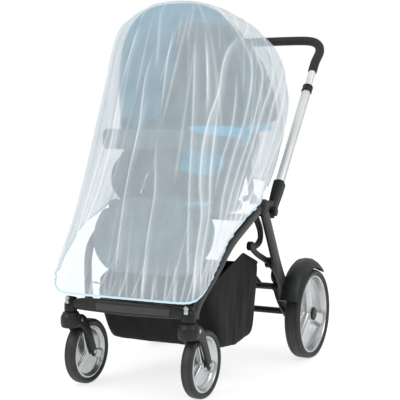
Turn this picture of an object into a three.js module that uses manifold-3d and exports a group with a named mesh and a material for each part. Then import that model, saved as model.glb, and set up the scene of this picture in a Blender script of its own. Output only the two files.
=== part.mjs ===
// A mosquito net on the stroller that it fits over. Millimetres, +Z up, front towards -Y,
// the stroller's left side towards +X. Tables are measured from the front wheel axle.
import * as THREE from "three";
import Module from "manifold-3d";

const wasm = await Module();
wasm.setup();

// Driving sizes
const GAP = 0.3; // between neighbouring pieces
const ROOM = 0.4; // growth of a body that its neighbour is cut to
const ORIGIN_BACK = 390; // from the front axle back to the middle of the footprint
const NET_THICK = 2; // net drawn thick enough to be a solid
const NET_COLUMNS = 62;
const NET_ROWS = 15;
const HEM_TALL = 7; // elastic binding, finished
const HEM_DEEP = 4;
const HOOD_THICK = 2.6;
const BASKET_THICK = 2.6;

const FRONT_WHEEL = { x: 193, y: 0, radius: 97.5, width: 36, rim: 81, sides: 16 };
const REAR_WHEEL = { x: 279, y: 618, radius: 147.5, width: 54, rim: 129, sides: 18 };
const SWIVEL = { x: 195, y: -80 }; // upright axis of a front caster
const JOINT = { x: 236, y: 330, z: 520, radius: 27, half: 11 }; // where the legs meet
const PUSH_FOOT = [235, 476, 593]; // start of the lower push tube
const PUSH_WAY = [0, 0.617, 0.787]; // the push bar's direction
const PUSH_TUBE = { outer: 15, inner: 12.6, length: 372 };
const INNER_TUBE = { radius: 12, from: 190, to: 462 };

// Small tools
const vec = (x, y, z) => new THREE.Vector3(x, y, z);
const lerp = (a, b, t) => a + (b - a) * t;
const signedPower = (v, p) => Math.sign(v) * Math.abs(v) ** p;

// A closed body from points and triangles, turned to face out.
function body(points, triangles) {
  let volume = 0;
  for (const [a, b, c] of triangles) {
    volume += points[a].dot(points[b].clone().cross(points[c])) / 6;
  }
  const index = [];
  for (const [a, b, c] of triangles) {
    index.push(...(volume < 0 ? [a, c, b] : [a, b, c]));
  }
  const geometry = new THREE.BufferGeometry().setFromPoints(points);
  geometry.setIndex(index);
  return geometry;
}

// A skin over closed rings of equal count, its ends closed by a fan.
function skin(rings) {
  const count = rings[0].length;
  const points = rings.flat();
  const triangles = [];
  for (let i = 0; i + 1 < rings.length; i++) {
    for (let j = 0; j < count; j++) {
      const k = (j + 1) % count;
      const low = i * count;
      const high = low + count;
      triangles.push([low + j, low + k, high + k], [low + j, high + k, high + j]);
    }
  }
  for (const end of [0, rings.length - 1]) {
    const middle = new THREE.Vector3();
    rings[end].forEach((p) => middle.addScaledVector(p, 1 / count));
    points.push(middle);
    const hub = points.length - 1;
    for (let j = 0; j < count; j++) {
      const k = (j + 1) % count;
      const pair = [end * count + j, end * count + k];
      triangles.push(end === 0 ? [hub, pair[1], pair[0]] : [hub, pair[0], pair[1]]);
    }
  }
  return body(points, triangles);
}

// Cloth from a grid of points: an outer and an inner face, `apart` away from each other along
// the cloth's own normal. `round` closes the rows into rings, `pole` closes the last ring.
function cloth(grid, inward, apart, { round = false, pole = null } = {}) {
  const rows = grid.length;
  const columns = grid[0].length;
  const shifted = grid.map((row, i) => row.map((p, j) => p.clone().addScaledVector(inward[i][j], apart)));
  const points = [...grid.flat(), ...shifted.flat()];
  const under = rows * columns;
  const at = (i, j, side) => side * under + i * columns + (j % columns);
  const triangles = [];
  const steps = round ? columns : columns - 1;
  for (let i = 0; i + 1 < rows; i++) {
    for (let j = 0; j < steps; j++) {
      const [a, b, c, d] = [at(i, j, 0), at(i, j + 1, 0), at(i + 1, j + 1, 0), at(i + 1, j, 0)];
      triangles.push([a, b, c], [a, c, d]);
      const [e, f, g, h] = [a + under, b + under, c + under, d + under];
      triangles.push([e, g, f], [e, h, g]);
    }
  }
  const seal = (a, b) => triangles.push([b, a, a + under], [b, a + under, b + under]);
  for (let j = 0; j < steps; j++) {
    seal(at(0, j, 0), at(0, j + 1, 0));
    if (!pole) seal(at(rows - 1, j + 1, 0), at(rows - 1, j, 0));
  }
  if (!round) {
    for (let i = 0; i + 1 < rows; i++) {
      seal(at(i + 1, 0, 0), at(i, 0, 0));
      seal(at(i, columns - 1, 0), at(i + 1, columns - 1, 0));
    }
  }
  if (pole) {
    points.push(pole.point, pole.point.clone().addScaledVector(pole.inward, apart));
    const top = points.length - 2;
    for (let j = 0; j < columns; j++) {
      const [a, b] = [at(rows - 1, j, 0), at(rows - 1, j + 1, 0)];
      triangles.push([a, b, top], [b + under, a + under, top + 1]);
    }
  }
  return body(points, triangles);
}

// Unit normals of a grid that point towards the `inside` point.
function inwardNormals(grid, round, inside) {
  const rows = grid.length;
  const columns = grid[0].length;
  return grid.map((row, i) =>
    row.map((p, j) => {
      const up = grid[Math.min(i + 1, rows - 1)][j].clone().sub(grid[Math.max(i - 1, 0)][j]);
      const left = round ? row[(j + columns - 1) % columns] : row[Math.max(j - 1, 0)];
      const right = round ? row[(j + 1) % columns] : row[Math.min(j + 1, columns - 1)];
      const normal = up.cross(right.clone().sub(left)).normalize();
      return normal.dot(inside.clone().sub(p)) < 0 ? normal.negate() : normal;
    }),
  );
}

// A bar of rounded section along a path. Stations are [x, y, z, half across, half through].
function bar(stations, across, { sides = 10, square = 4, grow = 0 } = {}) {
  const side = vec(...across).normalize();
  const rings = stations.map(([x, y, z, half, thick], i) => {
    const before = stations[Math.max(i - 1, 0)];
    const after = stations[Math.min(i + 1, stations.length - 1)];
    const way = vec(...after.slice(0, 3)).sub(vec(...before.slice(0, 3))).normalize();
    const a = side.clone().addScaledVector(way, -side.dot(way)).normalize();
    const b = way.clone().cross(a);
    const end = i === 0 ? -grow : i === stations.length - 1 ? grow : 0;
    return Array.from({ length: sides }, (_, j) => {
      const turn = (2 * Math.PI * (j + 0.5)) / sides;
      return vec(x, y, z)
        .addScaledVector(way, end)
        .addScaledVector(a, (half + grow) * signedPower(Math.cos(turn), 2 / square))
        .addScaledVector(b, (thick + grow) * signedPower(Math.sin(turn), 2 / square));
    });
  });
  return skin(rings);
}

// A round tube along a curve through the points.
function tube(points, radius, steps, sides = 12) {
  const outline = new THREE.Shape().absarc(0, 0, radius, 0, 2 * Math.PI);
  const path = new THREE.CatmullRomCurve3(points.map((p) => vec(...p)), false, "centripetal");
  const made = new THREE.ExtrudeGeometry(outline, {
    extrudePath: path,
    steps,
    curveSegments: sides,
  });
  return made;
}

// A body turned about an axis: profile pairs are [radius, along the axis]. Its flats, not its
// corners, lie on the radius.
function turned(profile, sides, axis, centre) {
  const corner = 1 / Math.cos(Math.PI / sides);
  const outline = profile.map(([r, h]) => new THREE.Vector2(r * corner, h));
  const made = new THREE.LatheGeometry(outline, sides);
  made.rotateY(Math.PI / sides);
  if (axis === "x") made.rotateZ(-Math.PI / 2);
  if (axis === "z") made.rotateX(Math.PI / 2);
  return made.translate(...centre);
}

function solid(geometry) {
  const flat = geometry.index ? geometry.toNonIndexed() : geometry;
  const position = flat.getAttribute("position").array;
  const mesh = new wasm.Mesh({
    numProp: 3,
    vertProperties: Float32Array.from(position),
    triVerts: Uint32Array.from({ length: position.length / 3 }, (_, i) => i),
  });
  mesh.merge();
  const made = new wasm.Manifold(mesh);
  if (made.volume() > 0) return made;
  for (let i = 0; i < mesh.triVerts.length; i += 3) {
    [mesh.triVerts[i + 1], mesh.triVerts[i + 2]] = [mesh.triVerts[i + 2], mesh.triVerts[i + 1]];
  }
  return new wasm.Manifold(mesh);
}

function meshed(made) {
  const mesh = made.getMesh();
  const geometry = new THREE.BufferGeometry();
  geometry.setAttribute("position", new THREE.BufferAttribute(mesh.vertProperties, 3));
  geometry.setIndex(new THREE.BufferAttribute(mesh.triVerts, 1));
  return geometry;
}

const joined = (...parts) => meshed(parts.map(solid).reduce((a, b) => a.add(b)));
const cut = (part, ...tools) => meshed(tools.map(solid).reduce((a, b) => a.subtract(b), solid(part)));

// The same body on the other side of the stroller.
function mirrored(geometry) {
  const flat = (geometry.index ? geometry.toNonIndexed() : geometry.clone()).scale(-1, 1, 1);
  const place = flat.getAttribute("position");
  const [a, b] = [vec(0, 0, 0), vec(0, 0, 0)];
  for (let i = 0; i < place.count; i += 3) {
    a.fromBufferAttribute(place, i + 1);
    b.fromBufferAttribute(place, i + 2);
    place.setXYZ(i + 1, b.x, b.y, b.z);
    place.setXYZ(i + 2, a.x, a.y, a.z);
  }
  return flat;
}

// Finishes
const finish = (color, roughness, metalness = 0) => ({ color, roughness, metalness });
const NET_CLOTH = finish(0xf4f7fb, 0.9);
const HEM_ELASTIC = finish(0xd8f1f8, 0.85);
const BLUE_CLOTH = finish(0x7fc4de, 0.9);
const GREY_CLOTH = finish(0x8f979b, 0.95);
const BLACK_CLOTH = finish(0x17130f, 0.9);
const FRAME_PAINT = finish(0x3b3f3d, 0.45, 0.2);
const BLACK_PLASTIC = finish(0x1d1f1f, 0.55);
const FOAM = finish(0x151515, 0.85);
const BRIGHT_TUBE = finish(0xdfe2e0, 0.3, 0.8);
const SILVER_PLASTIC = finish(0xc9cccc, 0.35, 0.3);
const TYRE_RUBBER = finish(0x2a2a2a, 0.8);

const stroller = new THREE.Group();
stroller.position.set(0, -ORIGIN_BACK, 0);

function piece(name, geometry, look) {
  const mesh = new THREE.Mesh(geometry, new THREE.MeshStandardMaterial(look));
  mesh.name = name;
  stroller.add(mesh);
}

function pair(name, geometry, look) {
  piece(`${name}_left`, geometry, look);
  piece(`${name}_right`, mirrored(geometry), look);
}

// Net
// Rings round the net, from the hem up over the hood. Each is square-cornered in plan and has
// its own height at the front, at the sides and at the rear, where it is narrower by its taper.
const NET_RINGS = [
  // yFront zFront  half  ySide zSide  yRear zRear frontCorner rearCorner taper
  [-108, 291, 253, 250, 534.5, 505, 607, 9.6, 4.6, 0.14],
  [-88, 350, 252.5, 252, 571, 538, 634, 7.6, 4.6, 0.12],
  [-62, 424, 252, 258, 620, 566, 668, 5.8, 4.8, 0.1],
  [-24, 530, 250, 270, 690, 588, 722, 4.7, 5.2, 0.06],
  [24, 664, 247, 284, 772, 596, 785, 4.1, 6.0, 0.02],
  [70, 792, 244, 298, 848, 597, 848, 3.8, 6.0, 0],
  [110, 905, 240, 312, 918, 597, 905, 3.6, 5.4, 0],
  [144, 1000, 236, 326, 980, 594, 952, 3.7, 4.6, 0],
  [168, 1068, 225, 338, 1030, 580, 992, 3.8, 4.2, 0],
  [184, 1112, 202, 346, 1066, 558, 1024, 3.5, 3.5, 0],
  [196, 1139, 162, 352, 1092, 524, 1052, 3.0, 3.0, 0],
  [212, 1150, 110, 356, 1111, 478, 1080, 2.5, 2.5, 0],
  [252, 1147, 54, 358, 1124, 424, 1101, 2.0, 2.0, 0],
];
const NET_POLE = vec(0, 340, 1126);
const NET_INSIDE = vec(0, 300, 640);
const HEM_SAG = 1.8; // how fast the hem leaves its front height on the way to the side
const FRONT_SAG = 1.3; // the same for the rings over the hood
const HEM_REACH = 0.25; // share of the net's height over which one turns into the other
const REAR_SAG = 1.0;
const TAPER_REACH = 0.6; // share of the way from the side to the rear where the taper is full
const RING_FINE = 360; // steps for measuring round a ring

// Main folds of the net. Places run round a ring as a share of its girth, 0 at the middle of
// the front and towards the left side; heights up the net run from 0 at the hem to 1.
const NET_FOLDS = [
  // atHem atTop  from  to   height  half width
  [0.955, 0.935, 0.0, 0.9, 5, 12],
  [0.982, 0.97, 0.0, 1.0, 6, 11],
  [0.005, 0.015, 0.0, 0.85, 5, 12],
  [0.035, 0.03, 0.0, 0.75, 5, 13],
  [0.062, 0.07, 0.0, 1.0, 7, 11],
  [0.09, 0.105, 0.0, 1.0, 9, 12],
  [0.112, 0.128, 0.0, 1.0, 10, 12],
  [0.136, 0.15, 0.05, 1.0, 8, 12],
  [0.165, 0.17, 0.0, 0.95, 8, 13],
  [0.2, 0.192, 0.0, 1.0, 10, 14],
  [0.24, 0.215, 0.0, 0.95, 9, 15],
  [0.285, 0.25, 0.0, 0.9, 8, 16],
  [0.34, 0.305, 0.0, 0.85, 8, 16],
  [0.41, 0.4, 0.0, 0.9, 8, 18],
  [0.5, 0.5, 0.0, 0.9, 8, 18],
  [0.59, 0.6, 0.0, 0.85, 8, 18],
  [0.67, 0.69, 0.0, 0.9, 8, 16],
  [0.735, 0.755, 0.0, 0.85, 8, 16],
  [0.79, 0.8, 0.0, 0.9, 7, 15],
  [0.845, 0.84, 0.0, 0.9, 6, 14],
  [0.905, 0.89, 0.0, 0.8, 6, 14],
];
const FOLD_FADE = 0.12; // share of the net's height over which a fold dies out

function ringAt(up) {
  const place = up * (NET_RINGS.length - 1);
  const low = Math.min(Math.floor(place), NET_RINGS.length - 2);
  const t = place - low;
  const ring = (i) => NET_RINGS[THREE.MathUtils.clamp(i, 0, NET_RINGS.length - 1)];
  const rows = [low - 1, low, low + 1, low + 2].map(ring);
  return rows[0].map((_, k) => {
    const [a, b, c, d] = rows.map((row) => row[k]);
    const bend = t * (c - a + t * (2 * a - 5 * b + 4 * c - d + t * (3 * (b - c) + d - a)));
    return b + bend / 2;
  });
}

// Points round one ring, evenly spaced along it, from the middle of the front.
function ringPoints(up, count) {
  const [yFront, zFront, half, ySide, zSide, yRear, zRear, frontCorner, rearCorner, taper] = ringAt(up);
  const frontSag = lerp(HEM_SAG, FRONT_SAG, Math.min(up / HEM_REACH, 1));
  const fine = [];
  for (let i = 0; i <= RING_FINE; i++) {
    const turn = (2 * Math.PI * i) / RING_FINE;
    const ahead = Math.cos(turn) > 0;
    const corner = ahead ? frontCorner : rearCorner;
    const along = signedPower(Math.cos(turn), 2 / corner);
    const narrow = ahead ? 0 : taper * THREE.MathUtils.smoothstep(-along, 0, TAPER_REACH);
    const x = (1 - narrow) * half * signedPower(Math.sin(turn), 2 / corner);
    const y = ySide + Math.abs(along) * ((ahead ? yFront : yRear) - ySide);
    const climb = Math.abs(along) ** (ahead ? frontSag : REAR_SAG);
    const z = zSide + climb * ((ahead ? zFront : zRear) - zSide);
    fine.push(vec(x, y, z));
  }
  const far = [0];
  for (let i = 1; i <= RING_FINE; i++) far.push(far[i - 1] + fine[i].distanceTo(fine[i - 1]));
  const girth = far[RING_FINE];
  const points = [];
  for (let j = 0, i = 1; j < count; j++) {
    const target = (girth * j) / count;
    while (far[i] < target) i++;
    const t = (target - far[i - 1]) / (far[i] - far[i - 1]);
    points.push(fine[i - 1].clone().lerp(fine[i], t));
  }
  return { points, girth };
}

function foldHeight(around, up, girth) {
  let height = 0;
  for (const [atHem, atTop, from, to, tall, wide] of NET_FOLDS) {
    let away = Math.abs(around - lerp(atHem, atTop, up)) % 1;
    away = Math.min(away, 1 - away) * girth;
    const start = from === 0 ? 1 : THREE.MathUtils.smoothstep(up, from, from + FOLD_FADE);
    const stop = 1 - THREE.MathUtils.smoothstep(up, to - FOLD_FADE, to);
    height += tall * start * stop * Math.exp(-((away / wide) ** 2));
  }
  return height;
}

// The net's outer face as a grid, with the directions to its inside.
function netGrid(rows, columns, highest) {
  const base = [];
  const girths = [];
  for (let i = 0; i < rows; i++) {
    const { points, girth } = ringPoints((highest * i) / (rows - 1), columns);
    base.push(points);
    girths.push(girth);
  }
  const inward = inwardNormals(base, true, NET_INSIDE);
  const outer = base.map((row, i) =>
    row.map((p, j) => {
      const fold = foldHeight(j / columns, (highest * i) / (rows - 1), girths[i]);
      return p.clone().addScaledVector(inward[i][j], -fold);
    }),
  );
  return { outer, inward };
}

const net = netGrid(NET_ROWS, NET_COLUMNS, 1);
piece(
  "net_cover",
  cloth(net.outer, net.inward, NET_THICK, {
    round: true,
    pole: { point: NET_POLE, inward: vec(0, 0, -1) },
  }),
  NET_CLOTH,
);

// The elastic binding follows the net's lower edge, just below it.
const hemSections = net.outer[0].map((edge, j) => {
  const inward = net.inward[0][j];
  const down = edge.clone().sub(net.outer[1][j]).normalize().multiplyScalar(HEM_TALL);
  const outer = edge.clone().add(vec(0, 0, -GAP));
  const inner = outer.clone().addScaledVector(inward, NET_THICK);
  const spread = (HEM_DEEP - NET_THICK) / 2;
  return [
    inner,
    outer,
    outer.clone().add(down).addScaledVector(inward, -spread),
    inner.clone().add(down).addScaledVector(inward, spread),
  ];
});

// A closed loop of four-cornered sections.
function loop(sections) {
  const corners = sections[0].length;
  const points = sections.flat();
  const triangles = [];
  sections.forEach((_, i) => {
    const here = i * corners;
    const next = ((i + 1) % sections.length) * corners;
    for (let j = 0; j < corners; j++) {
      const k = (j + 1) % corners;
      triangles.push([here + j, here + k, next + k], [here + j, next + k, next + j]);
    }
  });
  return body(points, triangles);
}
piece("hem_binding", loop(hemSections), HEM_ELASTIC);

// Hood
// Bows of the hood, front to rear. A bow stands on its two feet and arches over the middle. The
// shell is grey; a blue lining covers its inside at the front.
const HOOD_BOWS = [
  // yFoot zFoot  yTop  zTop  half  corner
  [240, 776, 212, 1143, 219, 3.0],
  [290, 777, 262, 1138, 220, 3.0],
  [345, 779, 335, 1116, 219, 2.9],
  [400, 781, 412, 1086, 216, 2.8],
  [455, 784, 484, 1046, 210, 2.8],
  [505, 788, 534, 998, 202, 2.8],
  [545, 793, 566, 938, 194, 2.8],
  [568, 798, 580, 870, 184, 2.8],
];
const HOOD_COLUMNS = 19;
const HOOD_INSIDE = vec(0, 380, 820);
const HOOD_LINED = 4; // bows that the lining reaches over, from the front
const LINING_THICK = 2;

function hoodRow([yFoot, zFoot, yTop, zTop, half, corner]) {
  return Array.from({ length: HOOD_COLUMNS }, (_, j) => {
    const turn = (Math.PI * j) / (HOOD_COLUMNS - 1);
    const x = half * signedPower(Math.cos(turn), 2 / corner);
    const rise = Math.abs(Math.sin(turn)) ** (2 / corner);
    return vec(x, lerp(yFoot, yTop, rise), lerp(zFoot, zTop, rise));
  });
}
const hoodRows = HOOD_BOWS.map(hoodRow);
const hoodInward = inwardNormals(hoodRows, false, HOOD_INSIDE);
piece("hood_shell", cloth(hoodRows, hoodInward, HOOD_THICK), GREY_CLOTH);
const liningRows = hoodRows
  .slice(0, HOOD_LINED)
  .map((row, i) => row.map((p, j) => p.clone().addScaledVector(hoodInward[i][j], HOOD_THICK + ROOM)));
piece("hood_lining", cloth(liningRows, hoodInward.slice(0, HOOD_LINED), LINING_THICK), BLUE_CLOTH);

// Bumper bar
// The padded bar narrows to a tongue at each end, which meets the seat frame.
// A level bar of upright section along a path in plan: [x, y, z, half deep, half tall].
function levelBar(path, sides, grow = 0) {
  const rings = path.map(([x, y, z, deep, tall], i) => {
    const before = path[Math.max(i - 1, 0)];
    const after = path[Math.min(i + 1, path.length - 1)];
    const way = vec(after[0] - before[0], after[1] - before[1], 0).normalize();
    const out = vec(way.y, -way.x, 0);
    const end = i === 0 ? -grow : i === path.length - 1 ? grow : 0;
    return Array.from({ length: sides }, (_, j) => {
      const turn = (2 * Math.PI * (j + 0.5)) / sides;
      const rise = (tall + grow) * signedPower(Math.sin(turn), 0.6);
      return vec(x, y, z + rise)
        .addScaledVector(way, end)
        .addScaledVector(out, (deep + grow) * signedPower(Math.cos(turn), 0.6));
    });
  });
  return skin(rings);
}
const BUMPER_HALF_PATH = [
  [0, 76, 732, 16, 30],
  [110, 84, 732, 16, 30],
  [178, 112, 732, 17, 31],
  [206, 156, 732, 17, 31],
  [212, 188, 732, 16, 29],
  [212, 200, 732, 14, 24],
  [212, 216, 734, 7, 13],
  [210, 250.8, 735, 6, 10],
];
const bumperPath = [
  ...BUMPER_HALF_PATH.toReversed().map(([x, ...rest]) => [-x, ...rest]),
  ...BUMPER_HALF_PATH.slice(1),
];
piece("bumper_bar", levelBar(bumperPath, 10), GREY_CLOTH);

// Blue cuff: lies on the bumper bar at its left end and closes down over it.
piece(
  "bumper_cuff",
  cut(
    levelBar(
      [
        [104, 84, 768, 12, 5],
        [150, 96, 768, 14, 7],
        [186, 120, 769, 15, 7],
        [207, 158, 769, 15, 8],
        [213, 190, 765, 15, 12],
        [214, 214, 750, 14, 22],
        [214, 238, 728, 12, 26],
        [214, 248, 716, 10, 22],
      ],
      8,
    ),
    levelBar(bumperPath, 10, ROOM),
  ),
  BLUE_CLOTH,
);

// Seat
// A padded panel: stations run along it with the half width and half thickness at each.
const pad = (stations, grow = 0) => bar(stations, [1, 0, 0], { sides: 12, square: 4, grow });
const seatBase = (grow) =>
  pad(
    [
      [0, 40, 528, 100, 14],
      [0, 47, 528, 132, 23],
      [0, 68, 528, 156, 27],
      [0, 105, 527, 172, 27],
      [0, 170, 527, 182, 27],
      [0, 300, 528, 184, 25],
      [0, 312, 528, 174, 14],
    ],
    grow,
  );
piece("seat_base", seatBase(0), GREY_CLOTH);
piece(
  "backrest",
  cut(
    pad([
      [0, 276, 534, 150, 14],
      [0, 290, 552, 164, 23],
      [0, 360, 672, 168, 26],
      [0, 424, 786, 164, 26],
      [0, 476, 880, 156, 25],
      [0, 502, 928, 146, 22],
      [0, 510, 942, 130, 12],
    ]),
    seatBase(ROOM),
  ),
  GREY_CLOTH,
);
piece(
  "leg_rest",
  cut(
    bar(
      [
        [0, 104, 506, 150, 66],
        [0, 98, 490, 172, 74],
        [0, 66, 448, 181, 68],
        [0, 46, 405, 175, 56],
        [0, 40, 360, 150, 38],
        [0, 38, 334, 116, 18],
      ],
      [1, 0, 0],
      { sides: 12, square: 3 },
    ),
    seatBase(ROOM),
  ),
  GREY_CLOTH,
);

// Side wings stand on the seat, the blue pad ahead of the left one.
const wing = (grow) =>
  bar(
    [
      [178, 146, 560, 4, 34],
      [180, 176, 592, 4, 74],
      [181, 226, 612, 4, 86],
      [181, 274, 660, 4, 78],
      [181, 344, 702, 4, 62],
      [180, 376, 734, 4, 26],
    ],
    [1, 0, 0],
    { sides: 10, square: 3, grow },
  );
pair("side_wing", cut(wing(0), seatBase(ROOM)), GREY_CLOTH);
piece(
  "hip_pad",
  cut(
    bar(
      [
        [54, 160, 672, 30, 5],
        [64, 159, 670, 40, 7],
        [120, 156, 668, 44, 9],
        [160, 154, 668, 43, 10],
        [186, 150, 672, 36, 9],
        [200, 146, 678, 20, 6],
      ],
      [0, 0, 1],
      { sides: 12, square: 3 },
    ),
    wing(ROOM),
    levelBar(bumperPath, 10, ROOM),
  ),
  BLUE_CLOTH,
);

// Chassis
const disc = (radius, x, half, y, z, sides = 20) =>
  turned([[0, -half], [radius, -half], [radius, half], [0, half]], sides, "x", [x, y, z]);

// Front leg: from the side joint forwards, then steeply down, with a foot that reaches ahead to
// the caster post.
const frontLeg = (grow) =>
  joined(
    bar(
      [
        [236, 318, 522, 9, 14],
        [236, 250, 493, 9, 13],
        [235, 180, 463, 9, 13],
        [234, 122, 436, 9, 13],
        [230, 82, 405, 9, 13],
        [222, 56, 370, 9, 13],
        [209, 34, 333, 9, 13],
        [195, 14, 299, 9.5, 13],
        [184, 0, 270, 10, 13],
        [179, -8, 246, 10, 13],
        [178, -10, 224, 10, 12],
      ],
      [1, 0, 0],
      { sides: 8, square: 3, grow },
    ),
    bar([[179, -4, 246, 9, 12], [192, -64, 246, 11, 12]], [1, 0, 0], { sides: 8, square: 4, grow }),
  );

// Rear leg: a flat oval tube from the side joint down to the rear axle.
const rearLeg = (grow) =>
  bar(
    [
      [240, 330, 520, 11, 20],
      [240, 392, 415, 11, 20],
      [240, 452, 314, 11, 21],
      [240, 516, 232, 10.5, 22],
      [240, 578, 178, 10, 23],
      [240, 618, 147, 9.5, 24],
      [240, 636, 132, 9, 16],
    ],
    [1, 0, 0],
    { sides: 8, square: 2.6, grow },
  );

// Side joint: a round boss, the socket of the push tube and the round folding knob.
const pushPoint = (along) => PUSH_FOOT.map((v, i) => v + PUSH_WAY[i] * along);
const sideJoint = (grow) =>
  joined(
    disc(JOINT.radius + grow, JOINT.x, JOINT.half + grow, JOINT.y, JOINT.z, 16),
    bar([[JOINT.x, 334, 528, 9, 14], [JOINT.x, 416, 522, 9, 16]], [1, 0, 0], { sides: 4, square: 40, grow }),
    bar(
      [
        [...pushPoint(-134), 11, 15],
        [...pushPoint(-96), 12, 20],
        [...pushPoint(-40), 16, 21],
        [...pushPoint(-GAP), 17, 20],
      ],
      [1, 0, 0],
      { sides: 8, square: 4, grow },
    ),
    disc(15 + grow, JOINT.x, 19 + grow, 400, 504, 12),
  );
const jointRoom = sideJoint(ROOM);
pair("side_joint", sideJoint(0), FRAME_PAINT);

// Caster post: stands on the caster and carries the front leg and the crossbar.
const POST = { radius: 19, foot: 232, head: 266, bore: 7 };
const post = turned(
  [
    [0, 258],
    [POST.bore, 258],
    [POST.bore, POST.foot],
    [POST.radius, POST.foot],
    [POST.radius, POST.head - 8],
    [POST.radius - 5, POST.head],
    [0, POST.head],
  ],
  12,
  "z",
  [SWIVEL.x, SWIVEL.y, 0],
);
const postRoom = turned(
  [
    [0, POST.foot - 20],
    [POST.radius + GAP, POST.foot - 20],
    [POST.radius + GAP, POST.head + GAP],
    [0, POST.head + GAP],
  ],
  12,
  "z",
  [SWIVEL.x, SWIVEL.y, 0],
);
pair("caster_post", post, BLACK_PLASTIC);
pair("front_leg", cut(frontLeg(0), jointRoom, postRoom), FRAME_PAINT);
pair("rear_leg", cut(
  rearLeg(0),
  jointRoom,
  disc(11 + ROOM, 240, 20, REAR_WHEEL.y, REAR_WHEEL.radius, 12),
), FRAME_PAINT);

// Crossbar: bowed forwards between the caster posts.
piece(
  "crossbar",
  cut(
    bar(
      [
        [-190, -80, 253, 10, 13],
        [-150, -86, 256, 12, 18],
        [-80, -94, 258, 13, 20],
        [0, -97, 258, 14, 21],
        [80, -94, 258, 13, 20],
        [150, -86, 256, 12, 18],
        [190, -80, 253, 10, 13],
      ],
      [0, 1, 0],
      { sides: 8, square: 4 },
    ),
    postRoom,
    mirrored(postRoom),
  ),
  FRAME_PAINT,
);

const crossTube = (y, z, radius, half) =>
  tube([[-half, y, z], [0, y, z], [half, y, z]], radius, 2, 7);
const SEAT_TUBE_HALF = JOINT.x - JOINT.half - GAP;
piece("seat_tube", crossTube(322, 488.5, 11, SEAT_TUBE_HALF), FRAME_PAINT);
piece("rear_tube", cut(crossTube(520, 246, 11, 246), rearLeg(ROOM), mirrored(rearLeg(ROOM))), FRAME_PAINT);
const axle = joined(
  disc(11, 0, 251, REAR_WHEEL.y, REAR_WHEEL.radius, 12),
  disc(8, 0, 290, REAR_WHEEL.y, REAR_WHEEL.radius, 12),
);
piece("rear_axle", axle, BLACK_PLASTIC);

// Folding strut under each side joint with its two pivot knobs, and the plate with a ring at its
// head that ties the rear tube to the axle.
const STRUT_X = 216;
const PLATE_X = 204;
const PLATE_RING = { y: 514, z: 286, outer: 26, hole: 9.5 };
const tubeRoom = crossTube(520, 246, 11 + ROOM, 246);
const axleRoom = disc(11 + ROOM, 0, 251, REAR_WHEEL.y, REAR_WHEEL.radius, 12);
pair(
  "fold_strut",
  cut(
    joined(
      bar(
        [
          [STRUT_X, 330, 486, 6, 13],
          [STRUT_X, 360, 450, 6, 15],
          [STRUT_X, 362, 418, 6, 14],
          [STRUT_X, 330, 402, 6, 10],
          [STRUT_X, 292, 404, 6, 9],
        ],
        [1, 0, 0],
        { sides: 6, square: 4 },
      ),
      bar(
        [
          [STRUT_X, 290, 402, 6, 9],
          [STRUT_X, 340, 374, 6, 9],
          [STRUT_X, 432, 337, 6, 10],
          [STRUT_X, 486, 300, 6, 10],
          [STRUT_X, 516, 262, 6, 11],
        ],
        [1, 0, 0],
        { sides: 6, square: 4 },
      ),
      disc(14, STRUT_X, 8.5, 288, 405, 12),
      disc(17, STRUT_X, 8.5, 432, 337, 12),
    ),
    jointRoom,
    tubeRoom,
    crossTube(322, 488.5, 11 + ROOM, SEAT_TUBE_HALF + ROOM),
  ),
  BLACK_PLASTIC,
);
pair(
  "axle_plate",
  cut(
    joined(
      bar(
        [
          [PLATE_X, 508, 262, 5, 18],
          [PLATE_X, 530, 236, 5, 24],
          [PLATE_X, 580, 184, 5, 26],
          [PLATE_X, 622, 146, 5, 22],
        ],
        [1, 0, 0],
        { sides: 4, square: 40 },
      ),
      disc(PLATE_RING.outer, PLATE_X, 5, PLATE_RING.y, PLATE_RING.z, 16),
    ),
    disc(PLATE_RING.hole, PLATE_X, 9, PLATE_RING.y, PLATE_RING.z + 3, 10),
    tubeRoom,
    axleRoom,
  ),
  BLACK_PLASTIC,
);

// Seat frame: carries the seat, the bumper bar and the hood on each side.
pair(
  "seat_frame",
  cut(
    joined(
      bar(
        [
          [207, 318, 545, 5, 13],
          [207, 300, 620, 5, 13],
          [207, 275, 700, 5, 14],
          [207, 262, 772, 5, 16],
        ],
        [1, 0, 0],
        { sides: 4, square: 40 },
      ),
      disc(24, 207, 6.6, 262, 776, 12),
      bar([[214, 322, 524, 14, 12], [210, 318, 560, 7, 12]], [1, 0, 0], { sides: 4, square: 40 }),
      bar([[180, 296, 545, 12, 9], [209, 312, 555, 12, 9]], [0, 1, 0], { sides: 4, square: 40 }),
    ),
    jointRoom,
    seatBase(ROOM),
  ),
  BLACK_PLASTIC,
);

// Push bar
const along = vec(...PUSH_WAY).normalize();
function onPushBar(geometry) {
  const lay = new THREE.Quaternion().setFromUnitVectors(vec(0, 0, 1), along);
  return geometry.applyQuaternion(lay).translate(...PUSH_FOOT);
}
const sleeve = (inner, outer, from, to, sides = 16) =>
  turned([[inner, from], [outer, from], [outer, to], [inner, to], [inner, from]], sides, "z", [0, 0, 0]);
pair("push_tube", onPushBar(sleeve(PUSH_TUBE.inner, PUSH_TUBE.outer, 0, PUSH_TUBE.length)), BRIGHT_TUBE);
const collarFoot = PUSH_TUBE.length + GAP;
const collarHead = collarFoot + 26;
pair("push_collar", onPushBar(sleeve(PUSH_TUBE.inner, 17.5, collarFoot, collarHead)), BLACK_PLASTIC);
pair(
  "inner_tube",
  onPushBar(turned(
    [
      [0, INNER_TUBE.from],
      [INNER_TUBE.radius, INNER_TUBE.from],
      [INNER_TUBE.radius, INNER_TUBE.to],
      [0, INNER_TUBE.to],
    ],
    16,
    "z",
    [0, 0, 0],
  )),
  BRIGHT_TUBE,
);

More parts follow.
